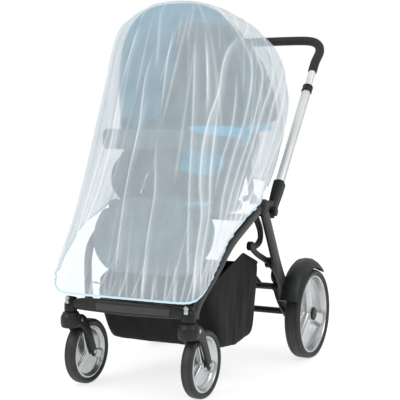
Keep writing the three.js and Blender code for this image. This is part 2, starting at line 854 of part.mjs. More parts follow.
// Foam grip: leaves both inner tubes straight on, then bends over to the cross part.
const gripFoot = pushPoint(INNER_TUBE.to + GAP);
const gripNext = pushPoint(INNER_TUBE.to + 45);
const gripSide = [gripFoot, gripNext, [233, 838, 1031], [217, 864, 1058], [180, 876, 1073], [90, 880, 1077]];
const GRIP_RADIUS = 15.5;
const gripPath = [
  ...gripSide.map(([x, y, z]) => [-x, y, z]),
  ...gripSide.toReversed(),
];
piece("grip", tube(gripPath, GRIP_RADIUS, 20, 5), FOAM);

// Basket
const BASKET_RINGS = [
  // yFront zFront  half  ySide zSide  yRear zRear corner
  [44, 300, 190, 262, 380, 414, 328, 6],
  [42, 258, 193, 256, 306, 408, 288, 6],
  [78, 190, 195, 249, 206, 394, 214, 6],
  [120, 122, 192, 242, 114, 370, 126, 5.5],
  [144, 111, 170, 242, 106, 348, 112, 4.5],
];
const BASKET_COLUMNS = 24;
const BASKET_POLE = vec(0, 242, 102);
function basketRow([yFront, zFront, half, ySide, zSide, yRear, zRear, corner]) {
  return Array.from({ length: BASKET_COLUMNS }, (_, j) => {
    const turn = (2 * Math.PI * (j + 0.5)) / BASKET_COLUMNS;
    const reach = signedPower(Math.cos(turn), 2 / corner);
    const share = Math.abs(reach);
    const y = lerp(ySide, reach > 0 ? yFront : yRear, share);
    const z = lerp(zSide, reach > 0 ? zFront : zRear, share);
    return vec(half * signedPower(Math.sin(turn), 2 / corner), y, z);
  });
}
const basketRows = BASKET_RINGS.map(basketRow);
const basketInward = inwardNormals(basketRows, true, vec(0, 240, 300));
const basketWall = (grow) =>
  cloth(
    basketRows.map((row, i) => row.map((p, j) => p.clone().addScaledVector(basketInward[i][j], -grow))),
    basketInward,
    BASKET_THICK + 2 * grow,
    { round: true, pole: { point: BASKET_POLE.clone().add(vec(0, 0, -grow)), inward: vec(0, 0, 1) } },
  );
piece("basket", basketWall(0), BLACK_CLOTH);
const strap = (from, to) => bar([[...from, 9, 2], [...to, 9, 2]], [1, 0, 0], { sides: 8, square: 6 });
pair(
  "basket_hook",
  cut(strap([181, 18, 304], [160, 53, 292]), frontLeg(ROOM), basketWall(ROOM)),
  BLACK_CLOTH,
);
pair(
  "basket_strap",
  cut(strap([150, 408, 326], [150, 516, 254]), basketWall(ROOM), tubeRoom),
  BLACK_CLOTH,
);

// Wheels
// Tyre section: [share of the depth from the rim out, share of the half width].
const TYRE_SECTION = [[0, -0.76], [0.55, -1], [1, -0.45], [1, 0.45], [0.55, 1], [0, 0.76]];
function tyre({ x, y, radius, width, rim, sides }) {
  const foot = rim + GAP;
  const outline = TYRE_SECTION.map(([out, wide]) => [lerp(foot, radius, out), (wide * width) / 2]);
  return turned([...outline, outline[0]], sides, "x", [x, y, radius]);
}

// Rim: a barrel with a recessed web and three broad spokes that stand out on both sides.
function rim({ x, y, radius, width, rim: outer, sides }, { bore, hub, face }) {
  const half = width * 0.4;
  const side = [
    [bore, face],
    [hub, face],
    [hub + 2, 3],
    [outer - 10, 3],
    [outer - 7, half],
    [outer, half],
  ];
  const back = side.map(([r, h]) => [r, -h]).reverse();
  const wheel = turned([...side, ...back, side[0]], sides, "x", [0, 0, 0]);
  const spokes = [90, 210, 330].map((angle) =>
    bar(
      [
        [0, 0, hub - 3, hub * 0.6, face - 3],
        [0, 0, outer * 0.5, hub * 0.52, face - 5],
        [0, 0, outer - 5, hub * 0.85, half - 3],
      ],
      [0, 1, 0],
      { sides: 4, square: 40 },
    ).rotateX(THREE.MathUtils.degToRad(angle)),
  );
  return joined(wheel, ...spokes).translate(x, y, radius);
}
const REAR_RIM = { bore: 8.5, hub: 24, face: 19 };
const FRONT_RIM = { bore: 5.5, hub: 16, face: 17 };
pair("rear_tyre", tyre(REAR_WHEEL), TYRE_RUBBER);
pair("rear_rim", rim(REAR_WHEEL, REAR_RIM), SILVER_PLASTIC);
pair("front_tyre", tyre(FRONT_WHEEL), TYRE_RUBBER);
pair("front_rim", rim(FRONT_WHEEL, FRONT_RIM), SILVER_PLASTIC);
const capFoot = REAR_WHEEL.x + REAR_RIM.face + GAP;
pair(
  "hub_cap",
  turned([[0, capFoot], [23, capFoot], [22, capFoot + 4], [14, capFoot + 7], [0, capFoot + 7]], 12, "x", [
    0,
    REAR_WHEEL.y,
    REAR_WHEEL.radius,
  ]),
  BLACK_PLASTIC,
);

// Caster fork: a bell under the post, a pin up into it and two arms down to the front axle.
const bellTop = POST.foot - GAP - 1;
const bell = turned(
  [[0, 184], [27, 184], [30, 192], [30, 214], [25, 226], [18, bellTop], [0, bellTop]],
  14,
  "z",
  [SWIVEL.x, SWIVEL.y, 0],
);
const pin = turned([[0, 200], [6, 200], [6, 250], [0, 250]], 8, "z", [SWIVEL.x, SWIVEL.y, 0]);
const arm = (x) =>
  bar(
    [
      [x, -84, 206, 3.5, 17],
      [x, -52, 194, 3.5, 17],
      [x, -30, 160, 3.5, 13],
      [x, -8, 116, 3.5, 12],
      [x, 5, 88, 3.5, 9],
    ],
    [1, 0, 0],
    { sides: 8, square: 4 },
  );
const armOut = FRONT_WHEEL.width / 2 + 5.5;
const axlePin = disc(4.6, FRONT_WHEEL.x, armOut + 5.5, 0, FRONT_WHEEL.radius, 8);
const fork = joined(
  bell,
  pin,
  arm(FRONT_WHEEL.x - armOut),
  arm(FRONT_WHEEL.x + armOut),
  axlePin,
);
pair("caster_fork", fork, BLACK_PLASTIC);

// Mudguard: a curved shell ahead of and over each rear wheel, carried from the rear leg.
const GUARD = { inner: 156, from: 58, to: 158, steps: 9 };
const guardRings = Array.from({ length: GUARD.steps }, (_, i) => {
  const share = i / (GUARD.steps - 1);
  const angle = THREE.MathUtils.degToRad(lerp(GUARD.from, GUARD.to, share));
  const out = vec(0, Math.cos(angle), Math.sin(angle));
  const swell = Math.sin(Math.PI * share);
  const inner = GUARD.inner + 6 * share;
  const section = [
    [237, 0],
    [237, 6],
    [250, 14 + 12 * swell],
    [284, 15 + 14 * swell],
    [303, 7],
    [308, -4],
    [303, -4],
    [284, 8 + 10 * swell],
    [250, 7 + 8 * swell],
  ];
  return section.map(([x, r]) =>
    vec(x, REAR_WHEEL.y, REAR_WHEEL.radius).addScaledVector(out, inner + r),
  );
});
const guard = skin(guardRings);
pair("mudguard", cut(guard, rearLeg(ROOM)), BLACK_PLASTIC);

export default stroller;
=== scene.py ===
import math

import bpy
import numpy as np
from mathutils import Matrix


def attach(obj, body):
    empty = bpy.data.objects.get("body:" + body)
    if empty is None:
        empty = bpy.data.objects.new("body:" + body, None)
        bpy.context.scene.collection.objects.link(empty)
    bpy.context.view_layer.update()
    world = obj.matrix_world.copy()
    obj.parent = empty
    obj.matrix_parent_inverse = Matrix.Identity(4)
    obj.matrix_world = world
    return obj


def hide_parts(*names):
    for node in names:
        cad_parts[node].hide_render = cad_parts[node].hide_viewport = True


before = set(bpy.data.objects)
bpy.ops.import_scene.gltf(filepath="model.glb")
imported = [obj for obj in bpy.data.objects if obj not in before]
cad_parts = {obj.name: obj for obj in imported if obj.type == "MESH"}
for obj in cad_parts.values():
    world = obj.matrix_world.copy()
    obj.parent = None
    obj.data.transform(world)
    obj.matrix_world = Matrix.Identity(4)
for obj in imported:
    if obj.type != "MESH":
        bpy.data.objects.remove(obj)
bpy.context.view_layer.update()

# Camera: ahead of the stroller and round to its left side, level with the seat, with a long
# lens as for a catalogue picture.
camera_data = bpy.data.cameras.new("camera")
camera_data.sensor_width = 36
camera_data.lens = 89.34
camera = bpy.data.objects.new("camera", camera_data)
camera.location = (1.445, -2.865, 0.762)
camera.rotation_euler = (math.radians(90 - 4.09), 0, math.radians(26.91))
scene = bpy.context.scene
scene.collection.objects.link(camera)
scene.camera = camera
scene.view_settings.view_transform = "Standard"


# Studio: a table of white acrylic lit from below, an even white room and two big soft boxes, so
# that only faint shadows are left under the wheels.
def linear(code):
    """An sRGB hex colour as linear red, green, blue and alpha."""
    parts = [int(code[i : i + 2], 16) / 255 for i in (1, 3, 5)]
    return [c / 12.92 if c <= 0.04045 else ((c + 0.055) / 1.055) ** 2.4 for c in parts] + [1.0]


def add(tree, kind, links=None, **settings):
    """A node with its settings, and its inputs as values or as links from other sockets."""
    node = tree.nodes.new(kind)
    for name, value in settings.items():
        setattr(node, name, value)
    for place, value in (links or {}).items():
        if isinstance(value, bpy.types.NodeSocket):
            tree.links.new(value, node.inputs[place])
        else:
            node.inputs[place].default_value = value
    return node


def fresh(name):
    """A material with an empty node tree."""
    material = bpy.data.materials.new(name)
    material.use_nodes = True
    material.node_tree.nodes.clear()
    return material, material.node_tree


def two_shades(tree, share, dark, light, low=0.0, high=1.0):
    """A colour that goes from the dark shade at the low share to the light one at the high."""
    ramp = add(tree, "ShaderNodeValToRGB", {"Fac": share})
    first, last = ramp.color_ramp.elements
    first.position = low
    first.color = linear(dark)
    last.position = high
    last.color = linear(light)
    return ramp.outputs[0]


def surface(tree, **looks):
    """The material's visible surface, its looks named by socket with _ for a space."""
    links = {name.replace("_", " "): value for name, value in looks.items()}
    shader = add(tree, "ShaderNodeBsdfPrincipled", links)
    add(tree, "ShaderNodeOutputMaterial", {"Surface": shader.outputs[0]})


ROOM_GLOW = 0.92  # what the white ceiling gives to the object
HORIZON_GLOW = 0.42  # and the dimmer walls
CEILING_STARTS = 0.55  # how high up the sky the full ceiling starts, as the sine of its angle
TABLE_GLOW = 0.74  # light that comes up through the acrylic
world = bpy.data.worlds.new("white_room")
scene.world = world
world.use_nodes = True
room = world.node_tree
room.nodes.clear()
seen = add(room, "ShaderNodeBackground", {"Color": (1, 1, 1, 1), "Strength": 1.0})
way_up = add(
    room,
    "ShaderNodeSeparateXYZ",
    {"Vector": add(room, "ShaderNodeTexCoord").outputs["Generated"]},
)
glow = add(
    room,
    "ShaderNodeMapRange",
    {
        "Value": way_up.outputs["Z"],
        "From Min": 0.0,
        "From Max": CEILING_STARTS,
        "To Min": HORIZON_GLOW,
        "To Max": ROOM_GLOW,
    },
)
lit = add(
    room,
    "ShaderNodeBackground",
    {"Color": (0.97, 0.985, 1, 1), "Strength": glow.outputs[0]},
)
path = add(room, "ShaderNodeLightPath")
either = add(
    room,
    "ShaderNodeMixShader",
    {0: path.outputs["Is Camera Ray"], 1: lit.outputs[0], 2: seen.outputs[0]},
)
add(room, "ShaderNodeOutputWorld", {"Surface": either.outputs[0]})

acrylic, tree = fresh("lit_white_acrylic")
cloud = add(tree, "ShaderNodeTexNoise", {"Scale": 0.6, "Detail": 2.0})
surface(
    tree,
    Base_Color=two_shades(tree, cloud.outputs["Fac"], "#A6A6A6", "#A9A9A9"),
    Roughness=0.9,
    Specular_IOR_Level=0.05,
    Emission_Color=(1, 1, 1, 1),
    Emission_Strength=TABLE_GLOW,
)
SWEEP = 40.0  # half width of the table in metres, beyond the edge of the picture
floor_mesh = bpy.data.meshes.new("floor")
corners = [(-SWEEP, -SWEEP, 0), (SWEEP, -SWEEP, 0), (SWEEP, SWEEP, 0), (-SWEEP, SWEEP, 0)]
floor_mesh.from_pydata(corners, [], [(0, 1, 2, 3)])
floor_mesh.materials.append(acrylic)
floor = bpy.data.objects.new("floor", floor_mesh)
scene.collection.objects.link(floor)

# Each soft box: where it stands, what it faces, its side in metres and its power in watts.
for name, place, aim, size, watts in (
    ("soft_box_front", (-2.2, -3.6, 3.4), (0.0, 0.0, 0.6), 2.6, 66.0),
    ("soft_box_side", (3.6, -0.6, 2.6), (0.0, 0.0, 0.5), 2.2, 34.0),
):
    lamp_data = bpy.data.lights.new(name, "AREA")
    lamp_data.shape = "SQUARE"
    lamp_data.size = size
    lamp_data.energy = watts
    lamp = bpy.data.objects.new(name, lamp_data)
    lamp.location = place
    way = np.subtract(aim, place)
    lamp.rotation_euler = (
        math.acos(-way[2] / np.linalg.norm(way)),
        0,
        math.atan2(way[1], way[0]) - math.pi / 2,
    )
    scene.collection.objects.link(lamp)


# Net: one length of warp-knitted polyester net, dropped over the hood and drawn in round its
# lower edge. It hangs from the hood's front bow in long folds that fan out from the crown, and
# is gathered into short puckers all along the elastic. Rings round it are given from the hem up.
NET_RINGS = np.array(
    [
        # y front, z front, half width, y side, z side, y rear, z rear, front corner, rear
        # corner, taper to the rear. Millimetres from the front wheel axle.
        [-108, 291, 253, 250, 534.5, 505, 607, 13.0, 4.6, 0.14],
        [-88, 350, 252.5, 252, 571, 538, 634, 8.6, 4.6, 0.12],
        [-62, 424, 252, 258, 620, 566, 668, 5.8, 4.8, 0.1],
        [-24, 530, 250, 270, 690, 588, 722, 4.7, 5.2, 0.06],
        [24, 664, 247, 284, 772, 596, 785, 4.1, 6.0, 0.02],
        [70, 792, 244, 298, 848, 597, 848, 3.8, 6.0, 0],
        [110, 905, 240, 312, 918, 597, 905, 3.6, 5.4, 0],
        [144, 1000, 236, 326, 980, 594, 952, 3.7, 4.6, 0],
        [168, 1068, 225, 338, 1030, 580, 992, 3.8, 4.2, 0],
        [184, 1112, 202, 346, 1066, 558, 1024, 3.5, 3.5, 0],
        [196, 1139, 162, 352, 1092, 524, 1052, 3.0, 3.0, 0],
        [212, 1150, 110, 356, 1111, 478, 1080, 2.5, 2.5, 0],
        [252, 1147, 54, 358, 1124, 424, 1101, 2.0, 2.0, 0],
    ]
)
HEM_SAG, FRONT_SAG, HEM_REACH = 1.8, 1.3, 0.25  # how late the front drops, at the hem and above
NET_CROWN = np.array([0.0, 340.0, 1126.0])
CROWN_RISE = 2.5  # how far the gathered crown stands above its cone
NET_MIDDLE = np.array([0.0, 300.0, 640.0])  # a point inside the net, to tell its outside by
NET_DROP = 1000.0  # length of cloth from the hem to the crown
NET_LIFT = 0.8  # how far the cloth lies outside its base rings
NET_ROWS = 132
NET_COLUMNS = 620
CROWN_ROWS = 6
ORIGIN_BACK = 390.0  # from the front axle back to the middle of the footprint

# Long folds, followed down the picture: height, half width of the crest, half width of the soft band
# beside it (all in millimetres), how white the band is, and then the fold's path as places up the net
# from the hem and round it from the middle of the front to the left.
# The band beside each fold is a painted highlight on one flank of the fold; how white it is sets how
# much it whitens and thickens the net.
LONG_FOLDS = [
    # Front, from its right corner to its left one.
    (7.0, 5, 15, 0.30, [(0.02, -0.091), (0.10, -0.094), (0.18, -0.093), (0.27, -0.089), (0.41, -0.080)]),
    (7.0, 5, 15, 0.30, [(0.06, -0.091), (0.19, -0.084), (0.28, -0.070), (0.37, -0.068), (0.50, -0.080)]),
    (5.0, 4, 10, 0.12, [(0.50, -0.078), (0.56, -0.074), (0.62, -0.071), (0.70, -0.071)]),
    (6.0, 4, 9, 0.12, [(0.09, -0.016), (0.29, -0.025), (0.40, -0.022), (0.51, -0.030), (0.58, -0.024)]),
    (3.0, 4, 9, 0.08, [(0.44, 0.012), (0.53, 0.009), (0.66, 0.010)]),
    (5.5, 4, 9, 0.12, [(0.02, 0.028), (0.19, 0.024), (0.29, 0.025), (0.34, 0.015), (0.38, 0.012)]),
    (6.0, 4, 10, 0.14, [(0.08, 0.091), (0.23, 0.081), (0.30, 0.076), (0.45, 0.069), (0.60, 0.060)]),
    (5.5, 4, 9, 0.12, [(0.42, 0.092), (0.49, 0.090), (0.56, 0.085), (0.62, 0.078)]),
    (8.5, 5, 12, 0.30, [(0.02, 0.102), (0.12, 0.098), (0.24, 0.100), (0.29, 0.091), (0.36, 0.090),
                        (0.43, 0.099), (0.46, 0.110), (0.53, 0.112), (0.58, 0.120), (0.64, 0.146)]),
    (7.0, 5, 10, 0.22, [(0.02, 0.110), (0.11, 0.107), (0.23, 0.111), (0.31, 0.105), (0.46, 0.110)]),
    # Side, falling from the hood's rear bow forwards to the lower corner.
    (8.5, 5, 16, 0.34, [(0.04, 0.108), (0.10, 0.119), (0.18, 0.136), (0.25, 0.132), (0.33, 0.149),
                        (0.37, 0.165), (0.48, 0.178), (0.56, 0.171), (0.64, 0.144)]),
    (5.0, 4, 10, 0.20, [(0.26, 0.117), (0.32, 0.121), (0.37, 0.136), (0.44, 0.140), (0.52, 0.139)]),
    (8.0, 6, 18, 0.36, [(0.06, 0.120), (0.12, 0.144), (0.22, 0.154), (0.28, 0.170), (0.32, 0.195),
                        (0.44, 0.214), (0.52, 0.222), (0.58, 0.190), (0.64, 0.175)]),
    (5.0, 6, 19, 0.38, [(0.05, 0.112), (0.09, 0.158), (0.15, 0.179), (0.23, 0.192), (0.33, 0.224),
                        (0.40, 0.238), (0.48, 0.262), (0.54, 0.271), (0.62, 0.262)]),
    (4.5, 6, 20, 0.40, [(0.03, 0.112), (0.06, 0.180), (0.14, 0.222), (0.26, 0.256), (0.35, 0.268),
                        (0.42, 0.278), (0.51, 0.310), (0.62, 0.338)]),
    (5.0, 6, 20, 0.40, [(0.00, 0.206), (0.04, 0.240), (0.10, 0.256), (0.23, 0.300), (0.41, 0.319),
                        (0.51, 0.340), (0.64, 0.352)]),
    (5.0, 6, 18, 0.30, [(0.00, 0.290), (0.12, 0.318), (0.30, 0.352), (0.60, 0.372)]),
    # Far side and back.
    (8.0, 7, 18, 0.25, [(0.00, -0.130), (0.35, -0.136), (0.78, -0.142)]),
    (7.0, 7, 18, 0.25, [(0.02, -0.165), (0.30, -0.172), (0.74, -0.166)]),
    (8.0, 8, 20, 0.25, [(0.00, -0.205), (0.35, -0.212), (0.78, -0.190)]),
    (8.0, 8, 20, 0.25, [(0.04, -0.250), (0.40, -0.246), (0.80, -0.226)]),
    (8.0, 9, 20, 0.25, [(0.00, -0.300), (0.40, -0.290), (0.78, -0.262)]),
    (8.0, 9, 20, 0.25, [(0.02, -0.345), (0.35, -0.350), (0.74, -0.330)]),
    (9.0, 9, 22, 0.25, [(0.00, -0.400), (0.40, -0.398), (0.82, -0.390)]),
    (7.0, 9, 20, 0.25, [(0.02, -0.455), (0.45, -0.450), (0.80, -0.462)]),
    (9.0, 9, 22, 0.25, [(0.00, 0.500), (0.40, 0.498), (0.86, 0.500)]),
    (7.0, 9, 20, 0.25, [(0.03, 0.446), (0.40, 0.450), (0.80, 0.458)]),
    (9.0, 9, 22, 0.25, [(0.00, 0.398), (0.40, 0.402), (0.82, 0.396)]),
    # Short ones over the crown.
    (4.0, 5, 10, 0.15, [(0.62, 0.150), (0.72, 0.120), (0.86, 0.104)]),
    (4.5, 5, 10, 0.15, [(0.62, 0.146), (0.70, 0.176), (0.84, 0.200)]),
    (4.5, 5, 12, 0.18, [(0.58, 0.270), (0.70, 0.250), (0.90, 0.240)]),
]


def eased(low, high, at):
    """Rises smoothly from 0 to 1 between two places."""
    share = np.clip((at - low) / (high - low), 0, 1)
    return share * share * (3 - 2 * share)


def catmull(rows, at):
    """The table's row at a place along it, on a smooth curve through the rows."""
    low = min(int(at), len(rows) - 2)
    t = at - low
    last = len(rows) - 1
    a, b, c, d = (rows[min(max(i, 0), last)] for i in (low - 1, low, low + 1, low + 2))
    return b + t * (c - a + t * (2 * a - 5 * b + 4 * c - d + t * (3 * (b - c) + d - a))) / 2


def net_ring(up, count, fine=1440):
    """Points spaced evenly round one ring of the net, and the ring's girth."""
    values = catmull(NET_RINGS, up * (len(NET_RINGS) - 1))
    y_front, z_front, half, y_side, z_side, y_rear, z_rear, front_corner, rear_corner, taper = values
    turn = 2 * np.pi * np.arange(fine + 1) / fine
    ahead = np.cos(turn) > 0
    power = 2 / np.where(ahead, front_corner, rear_corner)
    along = np.abs(np.cos(turn)) ** power
    narrow = np.where(ahead, 0, taper * eased(0, 0.6, along))
    x = (1 - narrow) * half * np.sign(np.sin(turn)) * np.abs(np.sin(turn)) ** power
    y = y_side + along * (np.where(ahead, y_front, y_rear) - y_side)
    front_sag = HEM_SAG + (FRONT_SAG - HEM_SAG) * min(up / HEM_REACH, 1)
    drop = np.where(ahead, z_front, z_rear) - z_side
    z = z_side + along ** np.where(ahead, front_sag, 1.0) * drop
    points = np.stack([x, y, z], 1)
    steps = np.linalg.norm(np.diff(points, axis=0), axis=1)
    far = np.concatenate([[0], np.cumsum(steps)])
    places = far[-1] * np.arange(count) / count
    return np.stack([np.interp(places, far, points[:, k]) for k in range(3)], 1), far[-1]


LEAN_STEP = 0.02  # the stretch of net over which a fold's lean is measured
CORNER_SOFT = 0.024  # how far up and down the net a bend in a fold is rounded


def fold_ridge(away, wide):
    """A soft ridge with a narrow crest, as a fold in thin net has."""
    return 0.65 * np.exp(-((away / wide) ** 2)) + 0.35 / (1 + (away / (0.45 * wide)) ** 2) ** 2


def fold_place(up, path):
    """How far round the net a fold lies at each height, its corners rounded off."""
    ups, rounds = zip(*path)
    nudges = np.linspace(-CORNER_SOFT, CORNER_SOFT, 5)
    return sum(np.interp(up + nudge, ups, rounds) for nudge in nudges) / len(nudges)


def pucker_rows(seed, count, low, length, height, wide):
    """Short irregular folds: place round the net, foot, head, lean, height and half width."""
    dice = np.random.RandomState(seed)
    rows = []
    for k in range(count):
        foot = dice.uniform(*low)
        rows.append(
            [
                (k + dice.uniform(-0.45, 0.45)) / count,
                foot,
                foot + dice.uniform(*length),
                dice.normal(0, 0.006),
                dice.uniform(*height),
                dice.uniform(*wide),
            ]
        )
    return rows


HIGHEST_FOLD = 10.0
RIDGE_FOOT = 1.5  # width of a fold's foot over that of its crest
CREST_WHITE, CREST_WIDE = 0.6, 0.45  # how thick the cloth is in a crest, and over what share; this thickness also whitens the net's colour there, a painted highlight
BAND_HIGHLIGHT, BAND_WIDE, BAND_SIDE = 0.75, 0.8, 0.5  # the band's painted highlight on one flank of each fold: how much it whitens and thickens the net, over what share, and how far beside the crest it lies
PUCKER_WHITE, PUCKER_WIDE = 0.13, 0.6
LEAN_OVER = 0.1  # the height over which a pucker leans by its given share of the girth
SIDE_GATHER = 0.3  # the net bunches where its left edge is drawn up to the side joint
CROWN_GATHER = 0.6  # how much of the top ring's thickness runs on over the crown


def net_relief(around, up, girth):
    """Height of the folds in millimetres, and how thickly the net lies over itself there, with a painted
    highlight added as a band on one flank of each long fold.
    """
    height = np.zeros_like(around)
    thick = np.zeros_like(around)
    for tall, wide, band, white, path in LONG_FOLDS:
        rise = fold_place(up + LEAN_STEP, path) - fold_place(up - LEAN_STEP, path)
        lean = rise / (2 * LEAN_STEP) * girth / NET_DROP
        away = (around - fold_place(up, path) + 0.5) % 1 - 0.5
        away = away * girth / np.sqrt(1 + lean**2)
        foot, head = path[0][0], path[-1][0]
        start = 1 if foot <= 0 else eased(foot - 0.02, foot + 0.06, up)
        here = start * (1 - eased(head - 0.1, head + 0.02, up))
        height += tall * here * fold_ridge(np.abs(away), RIDGE_FOOT * wide)
        thick += CREST_WHITE * here * np.exp(-((away / (CREST_WIDE * wide)) ** 2))
        # The band on one flank of each fold is a painted highlight: it makes the net whiter and more
        # opaque there.
        beside = (away - BAND_SIDE * band) / (BAND_WIDE * band)
        thick += BAND_HIGHLIGHT * white * here * np.exp(-(beside**2))
    for at0, foot, head, lean, tall, wide in PUCKERS:
        at = at0 + lean * (up - foot) / LEAN_OVER
        away = np.abs((around - at + 0.5) % 1 - 0.5) * girth
        start = 1 if foot <= 0 else eased(foot, foot + 0.04, up)
        here = start * (1 - eased(foot + 0.3 * (head - foot), head, up))
        height += tall * here * np.exp(-((away / wide) ** 2))
        thick += PUCKER_WHITE * tall * here * np.exp(-((away / (PUCKER_WIDE * wide)) ** 2))
    on_left = eased(0.1, 0.18, around) * (1 - eased(0.38, 0.5, around))
    thick += SIDE_GATHER * on_left * (1 - eased(0.02, 0.4, up))
    return HIGHEST_FOLD * np.tanh(height / HIGHEST_FOLD), thick


# Seed and count of each set of puckers, then the ranges of their foot, length, height and width.
PUCKERS = [
    *pucker_rows(11, 118, (-0.02, 0.0), (0.05, 0.2), (1.2, 3.6), (3.2, 5.5)),
    *pucker_rows(23, 61, (-0.02, 0.0), (0.12, 0.34), (1.0, 2.6), (4.0, 7.0)),
    *pucker_rows(37, 46, (0.12, 0.5), (0.2, 0.5), (0.8, 2.0), (4.5, 8.0)),
    *pucker_rows(41, 38, (0.45, 0.75), (0.15, 0.4), (0.8, 2.2), (4.5, 8.0)),
]


def facing_out(grid, middle, closed):
    """Unit normals of a grid of points that face away from its middle."""
    up = np.gradient(grid, axis=0)
    side = np.roll(grid, -1, 1) - np.roll(grid, 1, 1) if closed else np.gradient(grid, axis=1)
    out = np.cross(side, up)
    out /= np.linalg.norm(out, axis=2, keepdims=True) + 1e-9
    out[(out * (grid - middle)).sum(2) < 0] *= -1
    return out


rings = [net_ring(i / (NET_ROWS - 1), NET_COLUMNS) for i in range(NET_ROWS)]
net_base = np.array([points for points, _ in rings])
net_girth = np.array([girth for _, girth in rings])[:, None] * np.ones((1, NET_COLUMNS))
net_out = facing_out(net_base, NET_MIDDLE, True)
round_share = np.ones((NET_ROWS, 1)) * np.arange(NET_COLUMNS)[None, :] / NET_COLUMNS
up_share = np.arange(NET_ROWS)[:, None] / (NET_ROWS - 1) * np.ones((1, NET_COLUMNS))
net_height, net_thick_and_highlight = net_relief(round_share, up_share, net_girth)
net_grid = net_base + net_out * (net_height + NET_LIFT)[..., None]
crown_rows = []
for k in range(1, CROWN_ROWS):
    share = 1 - k / CROWN_ROWS
    rounded = NET_CROWN + (net_grid[-1] - NET_CROWN) * share
    rounded[:, 2] += CROWN_RISE * np.sin(np.pi * share)
    crown_rows.append(rounded)
net_grid = np.concatenate([net_grid, np.array(crown_rows)])
crown_thick_and_highlight = np.repeat(net_thick_and_highlight[-1:], CROWN_ROWS - 1, 0) * CROWN_GATHER
net_thick_and_highlight = np.concatenate([net_thick_and_highlight, crown_thick_and_highlight])


def grid_faces(rows, columns, closed):
    """Four-sided faces between the rows of a grid, closed into rings if asked."""
    i = np.arange(rows - 1)[:, None]
    j = np.arange(columns if closed else columns - 1)[None, :]
    k = (j + 1) % columns
    quads = [i * columns + j, i * columns + k, (i + 1) * columns + k, (i + 1) * columns + j]
    return np.stack(quads, -1).reshape(-1, 4).tolist()


def piece(name, points, faces, material, body, slot, replaces=(), crease=40):
    """An object from points in millimetres from the front axle, finished and put on its body."""
    mesh = bpy.data.meshes.new(name)
    points = (np.asarray(points, float) - (0, ORIGIN_BACK, 0)) / 1000
    mesh.from_pydata(points.tolist(), [], faces)
    mesh.validate()
    mesh.shade_smooth()
    if crease:
        mesh.set_sharp_from_angle(angle=math.radians(crease))
    mesh.materials.append(material)
    made = bpy.data.objects.new(name, mesh)
    scene.collection.objects.link(made)
    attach(made, body)
    if replaces:
        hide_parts(*replaces)
    return made


# The mesh lets most of the light through: its opacity is the share of thread, more where the
# cloth is gathered. The knit is drawn with holes of about 1.8 mm.
KNIT_HOLE = 0.0018
OPEN_NET = 0.42  # share of thread where the net lies in a single flat layer
GATHERED_NET = 0.95  # and where it is bunched most
GATHER_RATE = 1.2  # how soon a fold's thickness fills the holes
net_stuff, tree = fresh("polyester_net")
spot = add(tree, "ShaderNodeTexCoord").outputs["Object"]
thread = add(tree, "ShaderNodeAttribute", attribute_name="threads_and_highlight").outputs["Fac"]
holes = add(
    tree,
    "ShaderNodeTexVoronoi",
    {"Vector": spot, "Scale": 1 / KNIT_HOLE, "Randomness": 0.8},
    feature="DISTANCE_TO_EDGE",
)
knit = add(
    tree,
    "ShaderNodeMapRange",
    {"Value": holes.outputs["Distance"], "From Max": 0.4, "To Min": 1.14, "To Max": 0.88},
)
stretch = add(tree, "ShaderNodeMapping", {"Vector": spot, "Scale": (26, 26, 9)})
courses = add(tree, "ShaderNodeTexNoise", {"Vector": stretch.outputs[0], "Scale": 1.0, "Detail": 3.0})
course = add(
    tree,
    "ShaderNodeMapRange",
    {"Value": courses.outputs["Fac"], "From Min": 0.3, "From Max": 0.7, "To Min": 0.93, "To Max": 1.08},
)
weave = add(
    tree, "ShaderNodeMath", {0: knit.outputs[0], 1: course.outputs[0]}, operation="MULTIPLY"
)
cover = add(
    tree,
    "ShaderNodeMath",
    {0: thread, 1: weave.outputs[0]},
    operation="MULTIPLY",
    use_clamp=True,
)
surface(
    tree,
    # The thread's colour follows the same share: greyer where the net is open, which is painted shade,
    # and whiter where it is thick, which is painted highlight.
    Base_Color=two_shades(tree, thread, "#D3E0E6", "#F2F6F8", OPEN_NET, 0.8),
    Alpha=cover.outputs[0],
    Roughness=0.75,
    Specular_IOR_Level=0.3,
    Sheen_Weight=0.25,
    Sheen_Roughness=0.4,
)

all_rows = len(net_grid)
net_points = np.concatenate([net_grid.reshape(-1, 3), [NET_CROWN]])
net_faces = grid_faces(all_rows, NET_COLUMNS, True)
top = (all_rows - 1) * NET_COLUMNS
net_faces += [
    (top + j, top + (j + 1) % NET_COLUMNS, all_rows * NET_COLUMNS) for j in range(NET_COLUMNS)
]
net = piece("net", net_points, net_faces, net_stuff, "stroller", "net_cloth", ["net_cover"], None)
# This share is the real gathering of the cloth with painted highlight in it. It sets both the net's
# opacity and the painted shade and highlight of its colour.
gathered_and_highlight = np.tanh(GATHER_RATE * net_thick_and_highlight.reshape(-1))
threads_and_highlight = OPEN_NET + (GATHERED_NET - OPEN_NET) * gathered_and_highlight
layer = net.data.attributes.new("threads_and_highlight", "FLOAT", "POINT")
layer.data.foreach_set("value", np.append(threads_and_highlight, OPEN_NET).astype(np.float32))

# Hem: a pale blue-white knitted elastic, 7 mm deep, sewn round the net's edge under tension, so
# that it stands in small ripples.
HEM_STATIONS = 1500
HEM_SIDES = 10
HEM_TALL = 7.0
HEM_DEEP = 4.0
RIPPLE = 6.2  # one ripple of the elastic, along it
RIPPLE_DEEP = 0.9
RIPPLE_DRIFT = 41.0  # the stretch over which the ripples crowd and open again
edge_far = net_girth[0, 0] * np.arange(HEM_STATIONS) / HEM_STATIONS
column_far = net_girth[0, 0] * np.arange(NET_COLUMNS + 1) / NET_COLUMNS


def round_edge(values):
    """Values given at the net's columns, spread evenly along its edge."""
    closed_values = np.concatenate([values, values[:1]])
    return np.stack([np.interp(edge_far, column_far, closed_values[:, k]) for k in range(3)], 1)


